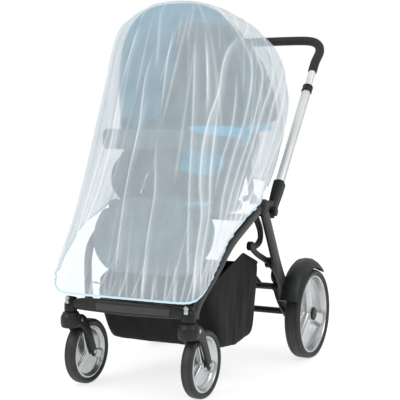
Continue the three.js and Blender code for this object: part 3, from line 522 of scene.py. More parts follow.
edge = round_edge(net_grid[0])
edge_out = round_edge(net_out[0])
edge_down = round_edge(net_base[0] - net_base[3])
edge_down /= np.linalg.norm(edge_down, axis=1, keepdims=True)
drift = 1.7 * np.sin(edge_far / RIPPLE_DRIFT)
ripple = 0.5 + 0.5 * np.sin(2 * np.pi * edge_far / RIPPLE + drift)
hem_points = []
for side in range(HEM_SIDES):
    turn = 2 * math.pi * side / HEM_SIDES
    down = 0.5 * HEM_TALL * (1 - np.sign(math.sin(turn)) * abs(math.sin(turn)) ** 0.8)
    out = 0.5 * math.cos(turn) * (HEM_DEEP + RIPPLE_DEEP * ripple)
    hem_points.append(edge + edge_down * (down + 0.3) + edge_out * (out - NET_LIFT)[:, None])
hem_points = np.stack(hem_points, 1).reshape(-1, 3)
hem_faces = []
for i in range(HEM_STATIONS):
    n = (i + 1) % HEM_STATIONS
    for j in range(HEM_SIDES):
        k = (j + 1) % HEM_SIDES
        hem_faces.append((i * HEM_SIDES + j, i * HEM_SIDES + k, n * HEM_SIDES + k, n * HEM_SIDES + j))

elastic, tree = fresh("knitted_elastic")
spot = add(tree, "ShaderNodeTexCoord").outputs["Object"]
rib = add(tree, "ShaderNodeTexNoise", {"Vector": spot, "Scale": 420.0, "Detail": 2.0})
raised = add(
    tree, "ShaderNodeBump", {"Height": rib.outputs["Fac"], "Strength": 0.4, "Distance": 0.0005}
)
surface(
    tree,
    Base_Color=two_shades(tree, rib.outputs["Fac"], "#B9DDE9", "#E6F5FA"),
    Roughness=0.8,
    Normal=raised.outputs[0],
    Sheen_Weight=0.3,
)
hem = piece("hem", hem_points, hem_faces, elastic, "stroller", "hem_elastic", ["hem_binding"], None)


def stitch_nodes(name, material):
    """Nodes that lay short threads along a line, each turned with it and a little uneven."""
    tree = bpy.data.node_groups.new(name, "GeometryNodeTree")
    tree.interface.new_socket("Line", in_out="INPUT", socket_type="NodeSocketGeometry")
    for title in ("Pitch", "Stitch length", "Thread radius"):
        tree.interface.new_socket(title, in_out="INPUT", socket_type="NodeSocketFloat")
    tree.interface.new_socket("Seed", in_out="INPUT", socket_type="NodeSocketInt")
    tree.interface.new_socket("Stitches", in_out="OUTPUT", socket_type="NodeSocketGeometry")
    given = tree.nodes.new("NodeGroupInput").outputs
    line = add(tree, "GeometryNodeMeshToCurve", {"Mesh": given["Line"]})
    spaced = add(
        tree,
        "GeometryNodeResampleCurve",
        {"Curve": line.outputs[0], "Length": given["Pitch"]},
        mode="LENGTH",
    )
    thread = add(
        tree,
        "GeometryNodeMeshCylinder",
        {"Vertices": 6, "Radius": given["Thread radius"], "Depth": given["Stitch length"]},
    )
    way = add(tree, "GeometryNodeInputTangent")
    turned_with = add(
        tree, "FunctionNodeAlignRotationToVector", {"Vector": way.outputs[0]}, axis="Z"
    )
    uneven = add(
        tree,
        "FunctionNodeRandomValue",
        {"Min": (0.8, 0.8, 0.75), "Max": (1.2, 1.2, 1.05), "Seed": given["Seed"]},
        data_type="FLOAT_VECTOR",
    )
    laid = add(
        tree,
        "GeometryNodeInstanceOnPoints",
        {
            "Points": spaced.outputs[0],
            "Instance": thread.outputs[0],
            "Rotation": turned_with.outputs[0],
            "Scale": uneven.outputs[0],
        },
    )
    real = add(tree, "GeometryNodeRealizeInstances", {"Geometry": laid.outputs[0]})
    sewn = add(
        tree, "GeometryNodeSetMaterial", {"Geometry": real.outputs[0], "Material": material}
    )
    add(tree, "NodeGroupOutput", {0: sewn.outputs[0]})
    return tree


def sew(name, path, pitch, length, radius, seed, material, body, slot):
    """A row of stitches along a closed path, in millimetres from the front axle."""
    points = (np.asarray(path, float) - (0, ORIGIN_BACK, 0)) / 1000
    line = bpy.data.meshes.new(name)
    count = len(points)
    line.from_pydata(points.tolist(), [(i, (i + 1) % count) for i in range(count)], [])
    row = bpy.data.objects.new(name, line)
    scene.collection.objects.link(row)
    nodes = row.modifiers.new("stitches", "NODES")
    nodes.node_group = stitch_nodes(name + "_nodes", material)
    settings = dict(zip(("Pitch", "Stitch length", "Thread radius"), (pitch, length, radius)))
    for item in nodes.node_group.interface.items_tree:
        if item.name in settings:
            nodes[item.identifier] = settings[item.name] / 1000
        if item.name == "Seed":
            nodes[item.identifier] = seed
    row.update_tag()
    graph = bpy.context.evaluated_depsgraph_get()
    laid = bpy.data.meshes.new_from_object(row.evaluated_get(graph))
    row.modifiers.clear()
    row.data = laid
    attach(row, body)
    return row


thread_white, tree = fresh("white_polyester_thread")
spot = add(tree, "ShaderNodeTexCoord").outputs["Object"]
twist = add(tree, "ShaderNodeTexNoise", {"Vector": spot, "Scale": 900.0, "Detail": 1.0})
surface(
    tree,
    Base_Color=two_shades(tree, twist.outputs["Fac"], "#9CC6D6", "#D2E8F0"),
    Roughness=0.55,
    Sheen_Weight=0.2,
)
STITCH_PITCH, STITCH_LENGTH, THREAD_RADIUS = 4.5, 3.0, 0.35
STITCH_SEED = 7
SEAM_DOWN = 2.4  # how far below the hem's upper edge the seam runs
SEAM_OUT = 0.15  # how far the thread stands out of the elastic
seam = edge + edge_down * SEAM_DOWN + edge_out * (0.5 * HEM_DEEP + SEAM_OUT)
stitching = (STITCH_PITCH, STITCH_LENGTH, THREAD_RADIUS, STITCH_SEED)
hem_stitches = sew("hem_stitches", seam, *stitching, thread_white, "stroller", "hem_elastic")


# Hood: two layers of polyester canvas over eight wire bows, sagging a little between them. The
# outside is grey; the underside of its front part is lined in pale blue.
HOOD_BOWS = np.array(
    [
        # y foot, z foot, y top, z top, half width, corner
        [240, 776, 212, 1143, 219, 3.0],
        [290, 777, 262, 1138, 220, 3.0],
        [345, 779, 335, 1116, 219, 2.9],
        [400, 781, 412, 1086, 216, 2.8],
        [455, 784, 484, 1046, 210, 2.8],
        [505, 788, 534, 998, 202, 2.8],
        [545, 793, 566, 938, 194, 2.8],
        [568, 798, 580, 870, 184, 2.8],
    ]
)
HOOD_MIDDLE = np.array([0.0, 380.0, 820.0])  # a point inside the hood
HOOD_ARC = 73
HOOD_STEPS = 8  # rows of mesh between two bows
LEAST_SAG, SPAN_SAG = 1.2, 2.6  # how far the canvas sinks, at a bow and between two


def hood_row(values):
    """One arch of the hood from its left foot over the top to its right one."""
    y_foot, z_foot, y_top, z_top, half, corner = values
    turn = np.pi * np.arange(HOOD_ARC) / (HOOD_ARC - 1)
    x = half * np.sign(np.cos(turn)) * np.abs(np.cos(turn)) ** (2 / corner)
    rise = np.abs(np.sin(turn)) ** (2 / corner)
    return np.stack([x, y_foot + (y_top - y_foot) * rise, z_foot + (z_top - z_foot) * rise], 1)


hood_spans = len(HOOD_BOWS) - 1
hood_places = np.arange(hood_spans * HOOD_STEPS + 1) / HOOD_STEPS
hood_base = np.array([hood_row(catmull(HOOD_BOWS, at)) for at in hood_places])
hood_out = facing_out(hood_base, HOOD_MIDDLE, False)
between = np.sin(np.pi * hood_places) ** 2
arc = np.sin(np.pi * np.arange(HOOD_ARC) / (HOOD_ARC - 1)) ** 0.7
sag = LEAST_SAG + SPAN_SAG * between[:, None] * arc[None, :]
hood_grid = hood_base - hood_out * sag[..., None]


def canvas(name, dark, light, thread_mm, sheen=0.15):
    """Plain-woven polyester canvas: a fine over-and-under grid, a little uneven, with a soft
    sheen. The threads are drawn thicker than real ones, at the given size, so that they show."""
    material, tree = fresh(name)
    spot = add(tree, "ShaderNodeTexCoord").outputs["Object"]
    waves = {"Vector": spot, "Scale": 1000 / thread_mm / 6.28, "Distortion": 0.6}
    warp = add(tree, "ShaderNodeTexWave", waves)
    weft = add(tree, "ShaderNodeTexWave", waves, bands_direction="Z")
    cross = add(
        tree,
        "ShaderNodeMath",
        {0: warp.outputs["Fac"], 1: weft.outputs["Fac"]},
        operation="MULTIPLY",
    )
    cloud = add(tree, "ShaderNodeTexNoise", {"Vector": spot, "Scale": 9.0, "Detail": 4.0})
    mix = add(
        tree,
        "ShaderNodeMath",
        {0: cross.outputs[0], 1: 0.12, 2: cloud.outputs["Fac"]},
        operation="MULTIPLY_ADD",
    )
    raised = add(
        tree, "ShaderNodeBump", {"Height": cross.outputs[0], "Strength": 0.35, "Distance": 0.0004}
    )
    surface(
        tree,
        Base_Color=two_shades(tree, mix.outputs[0], dark, light, 0.3, 0.85),
        Roughness=0.85,
        Normal=raised.outputs[0],
        Sheen_Weight=sheen,
        Sheen_Roughness=0.5,
        Specular_IOR_Level=0.25,
    )
    return material


grey_canvas = canvas("grey_polyester_canvas", "#5D6A70", "#69757B", 1.3)
blue_canvas = canvas("blue_polyester_canvas", "#3CB2D8", "#4DC0E4", 1.3)


def thicken(grid, out, thick):
    """A closed sheet from a grid: its outer face, an inner face and the edges between."""
    rows, columns = grid.shape[:2]
    points = np.concatenate([grid.reshape(-1, 3), (grid - out * thick).reshape(-1, 3)])
    faces = grid_faces(rows, columns, False)
    under = rows * columns
    faces += [[k + under for k in reversed(face)] for face in faces]
    rim = list(range(columns))
    rim += [(i + 1) * columns - 1 for i in range(1, rows)]
    rim += [(rows - 1) * columns + j for j in reversed(range(columns - 1))]
    rim += [i * columns for i in reversed(range(1, rows - 1))]
    for n, a in enumerate(rim):
        b = rim[(n + 1) % len(rim)]
        faces.append([b, a, a + under, b + under])
    return points, outward(points, faces)


def outward(points, faces):
    """The faces of a closed body, turned so that they face out."""
    points = np.asarray(points, float)
    volume = 0.0
    for face in faces:
        a, b, c = (points[face[k]] for k in (0, 1, 2))
        volume += a @ np.cross(b, c)
        if len(face) == 4:
            d = points[face[3]]
            volume += a @ np.cross(c, d)
    return [list(reversed(face)) for face in faces] if volume < 0 else faces


CANVAS_THICK = 1.6
hood = piece(
    "hood",
    *thicken(hood_grid, hood_out, CANVAS_THICK),
    grey_canvas,
    "stroller",
    "grey_cloth",
    ["hood_shell"],
)

# The lining's rear edge runs back down the sides, and its feet hang down to the bumper bar.
LINING_REACH = [2.4, 2.5, 2.8, 3.5, 4.0, 4.6, 4.5, 4.4, 4.4, 4.5]  # spans, from the top to a foot
LINING_ROWS = 28
LINING_UNDER, LINING_THICK = 2.4, 1.2
FOOT_DROPS = (9.0, 18.0, 26.0)
from_top = np.abs(np.arange(HOOD_ARC) - HOOD_ARC // 2)
reach = np.interp(from_top, np.linspace(0, HOOD_ARC // 2, len(LINING_REACH)), LINING_REACH)
places = np.linspace(0, 1, LINING_ROWS)[:, None] * reach[None, :] * HOOD_STEPS
low = np.minimum(places.astype(int), len(hood_grid) - 2)
part = (places - low)[..., None]
arc_at = np.arange(HOOD_ARC)[None, :] * np.ones_like(low)
lining_out = hood_out[low, arc_at] * (1 - part) + hood_out[low + 1, arc_at] * part
lining_grid = hood_grid[low, arc_at] * (1 - part) + hood_grid[low + 1, arc_at] * part
lining_grid = lining_grid - lining_out * LINING_UNDER
left_foot = [lining_grid[:, :1] - (0, 0, drop) for drop in reversed(FOOT_DROPS)]
right_foot = [lining_grid[:, -1:] - (0, 0, drop) for drop in FOOT_DROPS]
lining_grid = np.concatenate([*left_foot, lining_grid, *right_foot], 1)
lining_out = np.concatenate(
    [
        np.repeat(lining_out[:, :1], len(FOOT_DROPS), 1),
        lining_out,
        np.repeat(lining_out[:, -1:], len(FOOT_DROPS), 1),
    ],
    1,
)
lining = piece(
    "hood_lining_cloth",
    *thicken(lining_grid, lining_out, LINING_THICK),
    blue_canvas,
    "stroller",
    "blue_cloth",
    ["hood_lining"],
)


def sweep(path, radii, sides=12, square=2.0, side=(0, 0, 1)):
    """A closed tube round a path: its half width across and through at each point. A square of 2
    is round, and more is squarer."""
    path = np.asarray(path, float)
    radii = np.asarray(radii, float) * np.ones((len(path), 2))
    way = np.gradient(path, axis=0)
    way /= np.linalg.norm(way, axis=1, keepdims=True)
    across = np.asarray(side, float) - way * (way @ np.asarray(side, float))[:, None]
    across /= np.linalg.norm(across, axis=1, keepdims=True) + 1e-9
    through = np.cross(way, across)
    turn = 2 * np.pi * (np.arange(sides) + 0.5) / sides
    wide = np.sign(np.cos(turn)) * np.abs(np.cos(turn)) ** (2 / square)
    deep = np.sign(np.sin(turn)) * np.abs(np.sin(turn)) ** (2 / square)
    sections = (
        path[:, None]
        + across[:, None] * (radii[:, :1] * wide)[..., None]
        + through[:, None] * (radii[:, 1:] * deep)[..., None]
    )
    points = np.concatenate([sections.reshape(-1, 3), path[:1], path[-1:]])
    faces = grid_faces(len(path), sides, True)
    for j in range(sides):
        k = (j + 1) % sides
        last = (len(path) - 1) * sides
        faces.append([k, j, len(path) * sides])
        faces.append([last + j, last + k, len(path) * sides + 1])
    return points, outward(points, faces)


# Seat: foam pads sewn into grey canvas. Each pad has a crown, drawn-in sides and one or two sewn
# channels across it.
def joined(*parts):
    """Several closed bodies as one list of points and faces."""
    points, faces, start = [], [], 0
    for some_points, some_faces in parts:
        points.append(np.asarray(some_points, float))
        faces += [[k + start for k in face] for face in some_faces]
        start += len(some_points)
    return np.concatenate(points), faces


DOME_PLACES = (0.35, 0.7, 0.92, 1.0)  # sections of a domed end, from its foot to its tip
DOME_DROP = 0.55  # how much narrower the tip is than the foot
CLOSEST = 0.2  # sections nearer than this are one


def bar(stations, across, sides=28, square=4.0, steps=6, cap=0.55):
    """A rounded bar through stations of place, half width and half thickness, with domed ends."""
    rows = np.array(stations, float)
    places = np.arange((len(rows) - 1) * steps + 1) / steps
    smooth = np.array([catmull(rows, at) for at in places])
    inner = smooth.copy()
    domes = []
    for end, nearest in ((0, 1), (-1, -2)):
        row = smooth[end]
        way = row[:3] - smooth[nearest, :3]
        depth = cap * min(row[3:]) / np.linalg.norm(way)
        inner[end, :3] -= way * depth
        dome = []
        for share in DOME_PLACES:
            section = row.copy()
            section[:3] -= way * depth * (1 - share)
            section[3:] *= 1 - DOME_DROP * (1 - math.sqrt(1 - share**2))
            dome.append(section)
        domes.append(dome)
    rows = np.concatenate([domes[0][::-1], inner, domes[1]])
    keep = [0]
    for i in range(1, len(rows)):
        if np.linalg.norm(rows[i, :3] - rows[keep[-1], :3]) > CLOSEST:
            keep.append(i)
    rows = rows[keep]
    return sweep(rows[:, :3], rows[:, 3:], sides, square, across)


def both(name, points, faces, material, body, slot, replaces=(), crease=40):
    """A left piece and its mirror image on the right."""
    made = []
    for side, sign in (("left", 1), ("right", -1)):
        mirrored = np.asarray(points, float) * (sign, 1, 1)
        turned_faces = faces if sign > 0 else [list(reversed(face)) for face in faces]
        on = body if body in ("stroller", "handle") else f"{body}_{side}"
        nodes = [f"{node}_{side}" for node in replaces]
        made.append(
            piece(f"{name}_{side}", mirrored, turned_faces, material, on, slot, nodes, crease)
        )
    return made


SEAT_PADS = {
    # name: (stations of x, y, z, half width, half thickness; squareness; places of the channels)
    "seat_base": (
        [
            [0, 42, 528, 100, 14],
            [0, 50, 528, 134, 21],
            [0, 72, 529, 158, 25],
            [0, 110, 528, 171, 26],
            [0, 170, 527, 179, 26],
            [0, 296, 528, 180, 24],
            [0, 308, 528, 172, 14],
        ],
        4.0,
        (0.36, 0.68),
    ),
    "backrest": (
        [
            [0, 280, 538, 148, 12],
            [0, 294, 560, 160, 21],
            [0, 360, 672, 165, 25],
            [0, 424, 786, 162, 25],
            [0, 474, 876, 154, 24],
            [0, 500, 924, 144, 20],
            [0, 507, 937, 130, 11],
        ],
        4.0,
        (0.3, 0.62),
    ),
    "leg_rest": (
        [
            [0, 103, 503, 150, 58],
            [0, 98, 488, 170, 72],
            [0, 66, 448, 180, 67],
            [0, 46, 405, 174, 55],
            [0, 40, 360, 149, 37],
            [0, 38, 336, 116, 18],
        ],
        6.0,
        (0.55,),
    ),
}

CHANNEL_HALF = 150.0  # how far to each side a sewn channel runs
CHANNEL_WIDE = 0.022  # its half width, as a share of the pad's length
CHANNEL_DEEP = 4.5
for name, (stations, corner, channels) in SEAT_PADS.items():
    points, faces = bar(stations, (1, 0, 0), 48, corner, 8)
    low = np.array(stations[0][1:3], float)
    run = np.array(stations[-1][1:3], float) - low
    along = ((points[:, 1:3] - low) @ run) / (run @ run)
    inside = np.clip(1 - np.abs(points[:, 0]) / CHANNEL_HALF, 0, 1)
    centre = np.stack(
        [
            np.zeros(len(points)),
            np.interp(along, np.linspace(0, 1, len(stations)), [s[1] for s in stations]),
            np.interp(along, np.linspace(0, 1, len(stations)), [s[2] for s in stations]),
        ],
        1,
    )
    for channel in channels:
        dent = np.exp(-(((along - channel) / CHANNEL_WIDE) ** 2)) * inside**0.3
        away = points - centre
        away[:, 0] = 0
        far = np.linalg.norm(away, axis=1, keepdims=True)
        points = points - away / np.maximum(far, 1) * CHANNEL_DEEP * dent[:, None]
    pad = piece(name + "_pad", points, faces, grey_canvas, "stroller", "grey_cloth", [name], None)

# Side wings: two panels of stiffened canvas that stand beside the seat.
wing = bar(
    [
        [176, 148, 564, 5, 32],
        [177, 176, 592, 7, 72],
        [177, 226, 612, 7.5, 84],
        [177, 274, 660, 7.5, 76],
        [177, 344, 712, 7.5, 60],
        [177, 390, 762, 6.5, 44],
        [177, 412, 786, 4, 22],
    ],
    (1, 0, 0),
    28,
    3.0,
)
for made in both("side_wing_panel", *wing, grey_canvas, "stroller", "grey_cloth", ["side_wing"]):
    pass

# Blue pad at the seat's left side, and the blue strip sewn on the seat's front edge below it.
hip = bar(
    [
        [54, 160, 672, 28, 4.5],
        [64, 159, 670, 38, 6.5],
        [120, 156, 668, 42, 8.5],
        [156, 154, 668, 41, 9],
        [178, 151, 672, 33, 7],
        [188, 148, 676, 20, 5],
    ],
    (0, 0, 1),
    32,
    3.0,
)
hip_pad = piece("hip_pad_cloth", *hip, blue_canvas, "stroller", "blue_cloth", ["hip_pad"], None)
strip = bar(
    [[112, 47.5, 541, 9, 1.6], [134, 56, 543, 9, 1.6], [156, 74, 545, 8, 1.6], [170, 96, 547, 6, 1.6]],
    (0, -0.4, 1),
    16,
    4.0,
)
piece("seat_strip", *strip, blue_canvas, "stroller", "blue_cloth")

# Bumper bar: a steel hoop in a foam sleeve covered with grey canvas, which plugs into the seat
# frame at both ends. A blue cuff lies over its left end.
BUMPER_HALF = [
    # x, y, z of its middle line from the front round to the left, half height and half depth
    [0, 76, 732, 30, 16],
    [110, 84, 732, 30, 16],
    [178, 112, 732, 31, 17],
    [206, 156, 732, 31, 17],
    [212, 188, 732, 29, 16],
    [212, 200, 732, 24, 14],
    [212, 216, 734, 13, 7],
    [210, 246, 735, 10, 6],
]
bumper_stations = [[-row[0], *row[1:]] for row in reversed(BUMPER_HALF)] + BUMPER_HALF[1:]
bumper = piece(
    "bumper",
    *bar(bumper_stations, (0, 0, 1), 28, 3.3),
    grey_canvas,
    "stroller",
    "grey_cloth",
    ["bumper_bar"],
    None,
)
CUFF = [
    # x, y, z of the cuff's middle line, its half width and half height
    [110, 84, 765, 12, 4],
    [134, 90, 760, 17, 11],
    [160, 101, 756, 18.4, 16],
    [186, 120, 753, 19, 19],
    [206, 157, 751, 19, 20],
    [213, 189, 748, 18.4, 20],
    [214, 214, 742, 15, 20],
    [215, 236, 730, 10, 22],
    [214, 247, 716, 9, 19],
]
cuff = piece(
    "bumper_cuff_cloth",
    *bar(CUFF, (1, -1, 0), 24, 3.0),
    blue_canvas,
    "stroller",
    "blue_cloth",
    ["bumper_cuff"],
    None,
)


# Chassis: extruded aluminium tubes, powder coated in dark grey, with glass-filled nylon joints.
def coated_metal(name, colour, worn, roughness, metallic=0.0):
    """Powder coat: satin, with a very fine orange peel and a faint change of shade."""
    material, tree = fresh(name)
    spot = add(tree, "ShaderNodeTexCoord").outputs["Object"]
    peel = add(tree, "ShaderNodeTexNoise", {"Vector": spot, "Scale": 900.0, "Detail": 1.0})
    cloud = add(tree, "ShaderNodeTexNoise", {"Vector": spot, "Scale": 14.0, "Detail": 5.0})
    rough = add(
        tree,
        "ShaderNodeMapRange",
        {"Value": cloud.outputs["Fac"], "To Min": roughness - 0.05, "To Max": roughness + 0.08},
    )
    raised = add(
        tree, "ShaderNodeBump", {"Height": peel.outputs["Fac"], "Strength": 0.12, "Distance": 0.0003}
    )
    surface(
        tree,
        Base_Color=two_shades(tree, cloud.outputs["Fac"], colour, worn, 0.35, 0.75),
        Roughness=rough.outputs[0],
        Metallic=metallic,
        Normal=raised.outputs[0],
    )
    return material


def moulded(name, colour, lighter, roughness, grain_mm=0.8):
    """Moulded plastic with a spark-eroded grain: matt, slightly uneven."""
    material, tree = fresh(name)
    spot = add(tree, "ShaderNodeTexCoord").outputs["Object"]
    grain = add(
        tree, "ShaderNodeTexNoise", {"Vector": spot, "Scale": 1000 / grain_mm, "Detail": 2.0}
    )
    cloud = add(tree, "ShaderNodeTexNoise", {"Vector": spot, "Scale": 22.0, "Detail": 4.0})
    raised = add(
        tree, "ShaderNodeBump", {"Height": grain.outputs["Fac"], "Strength": 0.2, "Distance": 0.0003}
    )
    surface(
        tree,
        Base_Color=two_shades(tree, cloud.outputs["Fac"], colour, lighter, 0.35, 0.8),
        Roughness=roughness,
        Normal=raised.outputs[0],
        Specular_IOR_Level=0.3,
    )
    return material


frame_coat = coated_metal("dark_grey_powder_coat", "#2C2E2C", "#363836", 0.42, 0.2)
nylon = moulded("glass_filled_nylon", "#111212", "#1A1B1B", 0.42)
soft_grey_nylon = moulded("dark_grey_nylon", "#1B1C1C", "#262727", 0.4)
zinc = coated_metal("zinc_plated_steel", "#A9ACAC", "#C9CCCC", 0.28, 1.0)


def turned(profile, axis, centre, sides=48):
    """A body turned about an axis from pairs of radius and place along the axis."""
    ring_turn = 2 * np.pi * np.arange(sides) / sides
    points, faces, starts = [], [], []
    for radius, height in profile:
        starts.append((len(points), radius > 0))
        if radius > 0:
            points += [(radius * math.cos(t), radius * math.sin(t), height) for t in ring_turn]
        else:
            points.append((0.0, 0.0, height))
    pairs = list(zip(starts, starts[1:]))
    if profile[0][0] > 0 or profile[-1][0] > 0:
        pairs.append((starts[-1], starts[0]))
    for (a, a_ring), (b, b_ring) in pairs:
        for j in range(sides):
            k = (j + 1) % sides
            if a_ring and b_ring:
                faces.append([a + j, a + k, b + k, b + j])
            elif a_ring:
                faces.append([a + j, a + k, b])
            elif b_ring:
                faces.append([a, b + k, b + j])
    points = np.array(points, float)
    if axis == "x":
        points = points[:, [2, 0, 1]]
    return points + np.asarray(centre, float), outward(points, faces)


def disc(radius, x, half, y, z, edge=1.2, sides=40):
    """A round boss across the stroller, its edges rounded."""
    profile = [
        (0, -half),
        (radius - edge, -half),
        (radius - 0.3 * edge, -half + 0.3 * edge),
        (radius, -half + edge),
        (radius, half - edge),
        (radius - 0.3 * edge, half - 0.3 * edge),
        (radius - edge, half),
        (0, half),
    ]
    return turned(profile, "x", (x, y, z), sides)


AXLE_HEIGHT = 147.5
JOINT_X, JOINT_Y, JOINT_Z = 236.0, 330.0, 520.0
PUSH_FOOT = np.array([235.0, 476.0, 593.0])
PUSH_WAY = np.array([0, 0.617, 0.787])


def push_point(along):
    """A point on the push bar's middle line, so far from its foot."""
    return (PUSH_FOOT + PUSH_WAY * along).tolist()


front_leg = joined(
    bar(
        [
            [236, 318, 522, 9, 14],
            [236, 250, 493, 9, 13],
            [235, 180, 463, 9, 13],
            [234, 122, 436, 9, 13],
            [230, 82, 405, 9, 13],
            [222, 56, 370, 9, 13],
            [209, 34, 333, 9, 13],
            [195, 14, 299, 9.5, 13],
            [184, 0, 270, 10, 13],
            [179, -8, 246, 10, 13],
            [178, -10, 226, 10, 12],
        ],
        (1, 0, 0),
        32,
        3.0,
    ),
    bar([[179, -4, 246, 9, 11.5], [192, -66, 246, 11, 11.5]], (1, 0, 0), 24, 4.0),
)
both("front_leg_tube", *front_leg, frame_coat, "stroller", "frame_paint", ["front_leg"])
rear_leg = bar(
    [
        [240, 334, 513, 11, 19],
        [240, 392, 415, 11, 20],
        [240, 452, 314, 11, 21],
        [240, 516, 232, 10.5, 22],
        [240, 578, 178, 10, 23],
        [240, 618, 147, 9.5, 24],
        [240, 636, 132, 9, 16],
    ],
    (1, 0, 0),
    32,
    2.6,
)
both("rear_leg_tube", *rear_leg, frame_coat, "stroller", "frame_paint", ["rear_leg"])
boss = joined(
    disc(27, JOINT_X, 11, JOINT_Y, JOINT_Z),
    disc(20, JOINT_X, 13, JOINT_Y, JOINT_Z),
    bar([[JOINT_X, 334, 528, 8.6, 13.6], [JOINT_X, 416, 522, 8.6, 15.6]], (1, 0, 0), 24, 8.0),
    bar(
        [
            [*push_point(-134), 11, 15],
            [*push_point(-96), 12, 20],
            [*push_point(-40), 16, 21],
            [*push_point(-1), 17, 20],
        ],
        (1, 0, 0),
        32,
        4.0,
    ),
    disc(15, JOINT_X, 19, 400, 504),
)
both("side_joint_boss", *boss, nylon, "stroller", "frame_paint", ["side_joint"])
both(
    "joint_cap",
    *joined(disc(9, JOINT_X, 14.4, JOINT_Y, JOINT_Z), disc(7, JOINT_X, 20.2, 400, 504)),
    soft_grey_nylon,
    "stroller",
    "black_plastic",
)

# Caster posts: moulded boots that clip the legs and the crossbar to the front casters. Each has
# a bright spring clip with a dark button at its top.
SWIVEL_X, SWIVEL_Y = 195.0, -80.0
post = joined(
    turned(
        [
            (0, 232),
            (18.5, 232),
            (19, 234),
            (19, 252),
            (18, 257),
            (15, 260),
            (14, 266),
            (0, 266),
        ],
        "z",
        (SWIVEL_X, SWIVEL_Y, 0),
    ),
    bar([[195, -78, 262, 13.5, 15], [195, -75, 274, 14, 17]], (1, 0, 0), 24, 3.0),
)
both("caster_post_boot", *post, nylon, "stroller", "black_plastic", ["caster_post"])
clip = joined(
    bar([[191, -97, 267, 7, 3], [199, -97, 276, 7, 3]], (1, 0, 0), 16, 3.0),
    turned([(0, 255), (6, 255), (6.6, 258), (6, 270), (4, 273), (0, 274)], "z", (195, -97, 0), 24),
)
both("release_clip", *clip, zinc, "stroller", "silver_plastic")
both(
    "release_button",
    *turned([(0, 247), (5, 247), (5.6, 249), (5.4, 256), (0, 257)], "z", (195, -99, 0), 24),
    nylon,
    "stroller",
    "black_plastic",
)

# Crossbar: a bowed nylon-clad beam between the casters, with a long shallow panel let into its
# face and a dark slot along its top.
BEAM = [
    [-184, -81, 253, 10, 12.5],
    [-150, -86, 256, 11.6, 17.5],
    [-80, -94, 258, 12.6, 19.6],
    [0, -97, 258, 13.4, 20.6],
    [80, -94, 258, 12.6, 19.6],
    [150, -86, 256, 11.6, 17.5],
    [184, -81, 253, 10, 12.5],
]
beam = bar(BEAM, (0, 1, 0), 36, 3.4)
piece("beam", *beam, soft_grey_nylon, "stroller", "frame_paint", ["crossbar"])


def along_beam(low, high, forward, lift, half_tall, half_deep, count=9):
    """A strip that follows the beam's bow, set ahead of or above its middle line."""
    rows = np.array(BEAM, float)
    stations = []
    for x in np.linspace(low, high, count):
        y, z, deep, tall = (np.interp(x, rows[:, 0], rows[:, k]) for k in (1, 2, 3, 4))
        stations.append([x, y - forward * deep, z + lift * tall, half_tall, half_deep])
    return bar(stations, (0, 0, 1), 16, 6.0, 2, 0.9)


piece("beam_groove", *along_beam(-96, 148, 0.965, -0.05, 12, 1.0), nylon, "stroller", "black_plastic")
piece(
    "beam_panel",
    *along_beam(-92, 144, 1.0, -0.05, 10, 1.0),
    coated_metal("satin_grey_inlay", "#303230", "#3A3C3A", 0.36, 0.1),
    "stroller",
    "frame_paint",
)
piece("beam_slot", *along_beam(-84, 128, 0.2, 0.97, 1.0, 5), nylon, "stroller", "black_plastic")

# Cross tubes, folding struts and axle: thin dark steel between the two sides of the frame.
piece(
    "seat_cross_tube",
    *sweep([[-224, 322, 488.5], [0, 322, 488.5], [224, 322, 488.5]], [11, 11], 32),
    frame_coat,
    "stroller",
    "frame_paint",
    ["seat_tube"],
)
piece(
    "rear_cross_tube",
    *sweep([[-229, 520, 246], [0, 520, 246], [229, 520, 246]], [11, 11], 32),
    frame_coat,
    "stroller",
    "frame_paint",
    ["rear_tube"],
)
axle = joined(
    turned(
        [(0, -251), (10, -251), (11, -249), (11, 249), (10, 251), (0, 251)],
        "x",
        (0, 618, AXLE_HEIGHT),
        32,
    ),
    disc(8, 0, 289.5, 618, AXLE_HEIGHT, 1.0, 32),
)
piece("axle_tube", *axle, nylon, "stroller", "black_plastic", ["rear_axle"])
strut = joined(
    bar(
        [
            [216, 332, 484, 6, 13],
            [216, 360, 450, 6, 15],
            [216, 362, 418, 6, 14],
            [216, 330, 402, 6, 10],
            [216, 292, 404, 6, 9],
        ],
        (1, 0, 0),
        24,
        3.0,
    ),
    bar(
        [
            [216, 290, 402, 6, 9],
            [216, 340, 374, 6, 9],
            [216, 432, 337, 6, 10],
            [216, 486, 300, 6, 10],
            [216, 514, 265, 6, 11],
        ],
        (1, 0, 0),
        24,
        3.0,
    ),
    disc(14, 216, 8.5, 288, 405, 2.0, 36),
    disc(17, 216, 8.5, 432, 337, 2.0, 36),
)
both("fold_link", *strut, nylon, "stroller", "black_plastic", ["fold_strut"])
plate = joined(
    bar(
        [
            [204, 522, 250, 5, 20],
            [204, 542, 224, 5, 24],
            [204, 580, 184, 5, 25],
            [204, 620, 148, 5, 21],
        ],
        (1, 0, 0),
        24,
        5.0,
    ),
    turned([(9.5, -5), (25, -5), (26, -4), (26, 4), (25, 5), (9.5, 5)], "x", (204, 514, 286), 40),
    disc(18, 204, 8, 618, AXLE_HEIGHT, 1.2, 32),
    disc(15, 204, 7.5, 520, 246, 1.2, 32),
)
both("axle_bracket", *plate, nylon, "stroller", "black_plastic", ["axle_plate"])

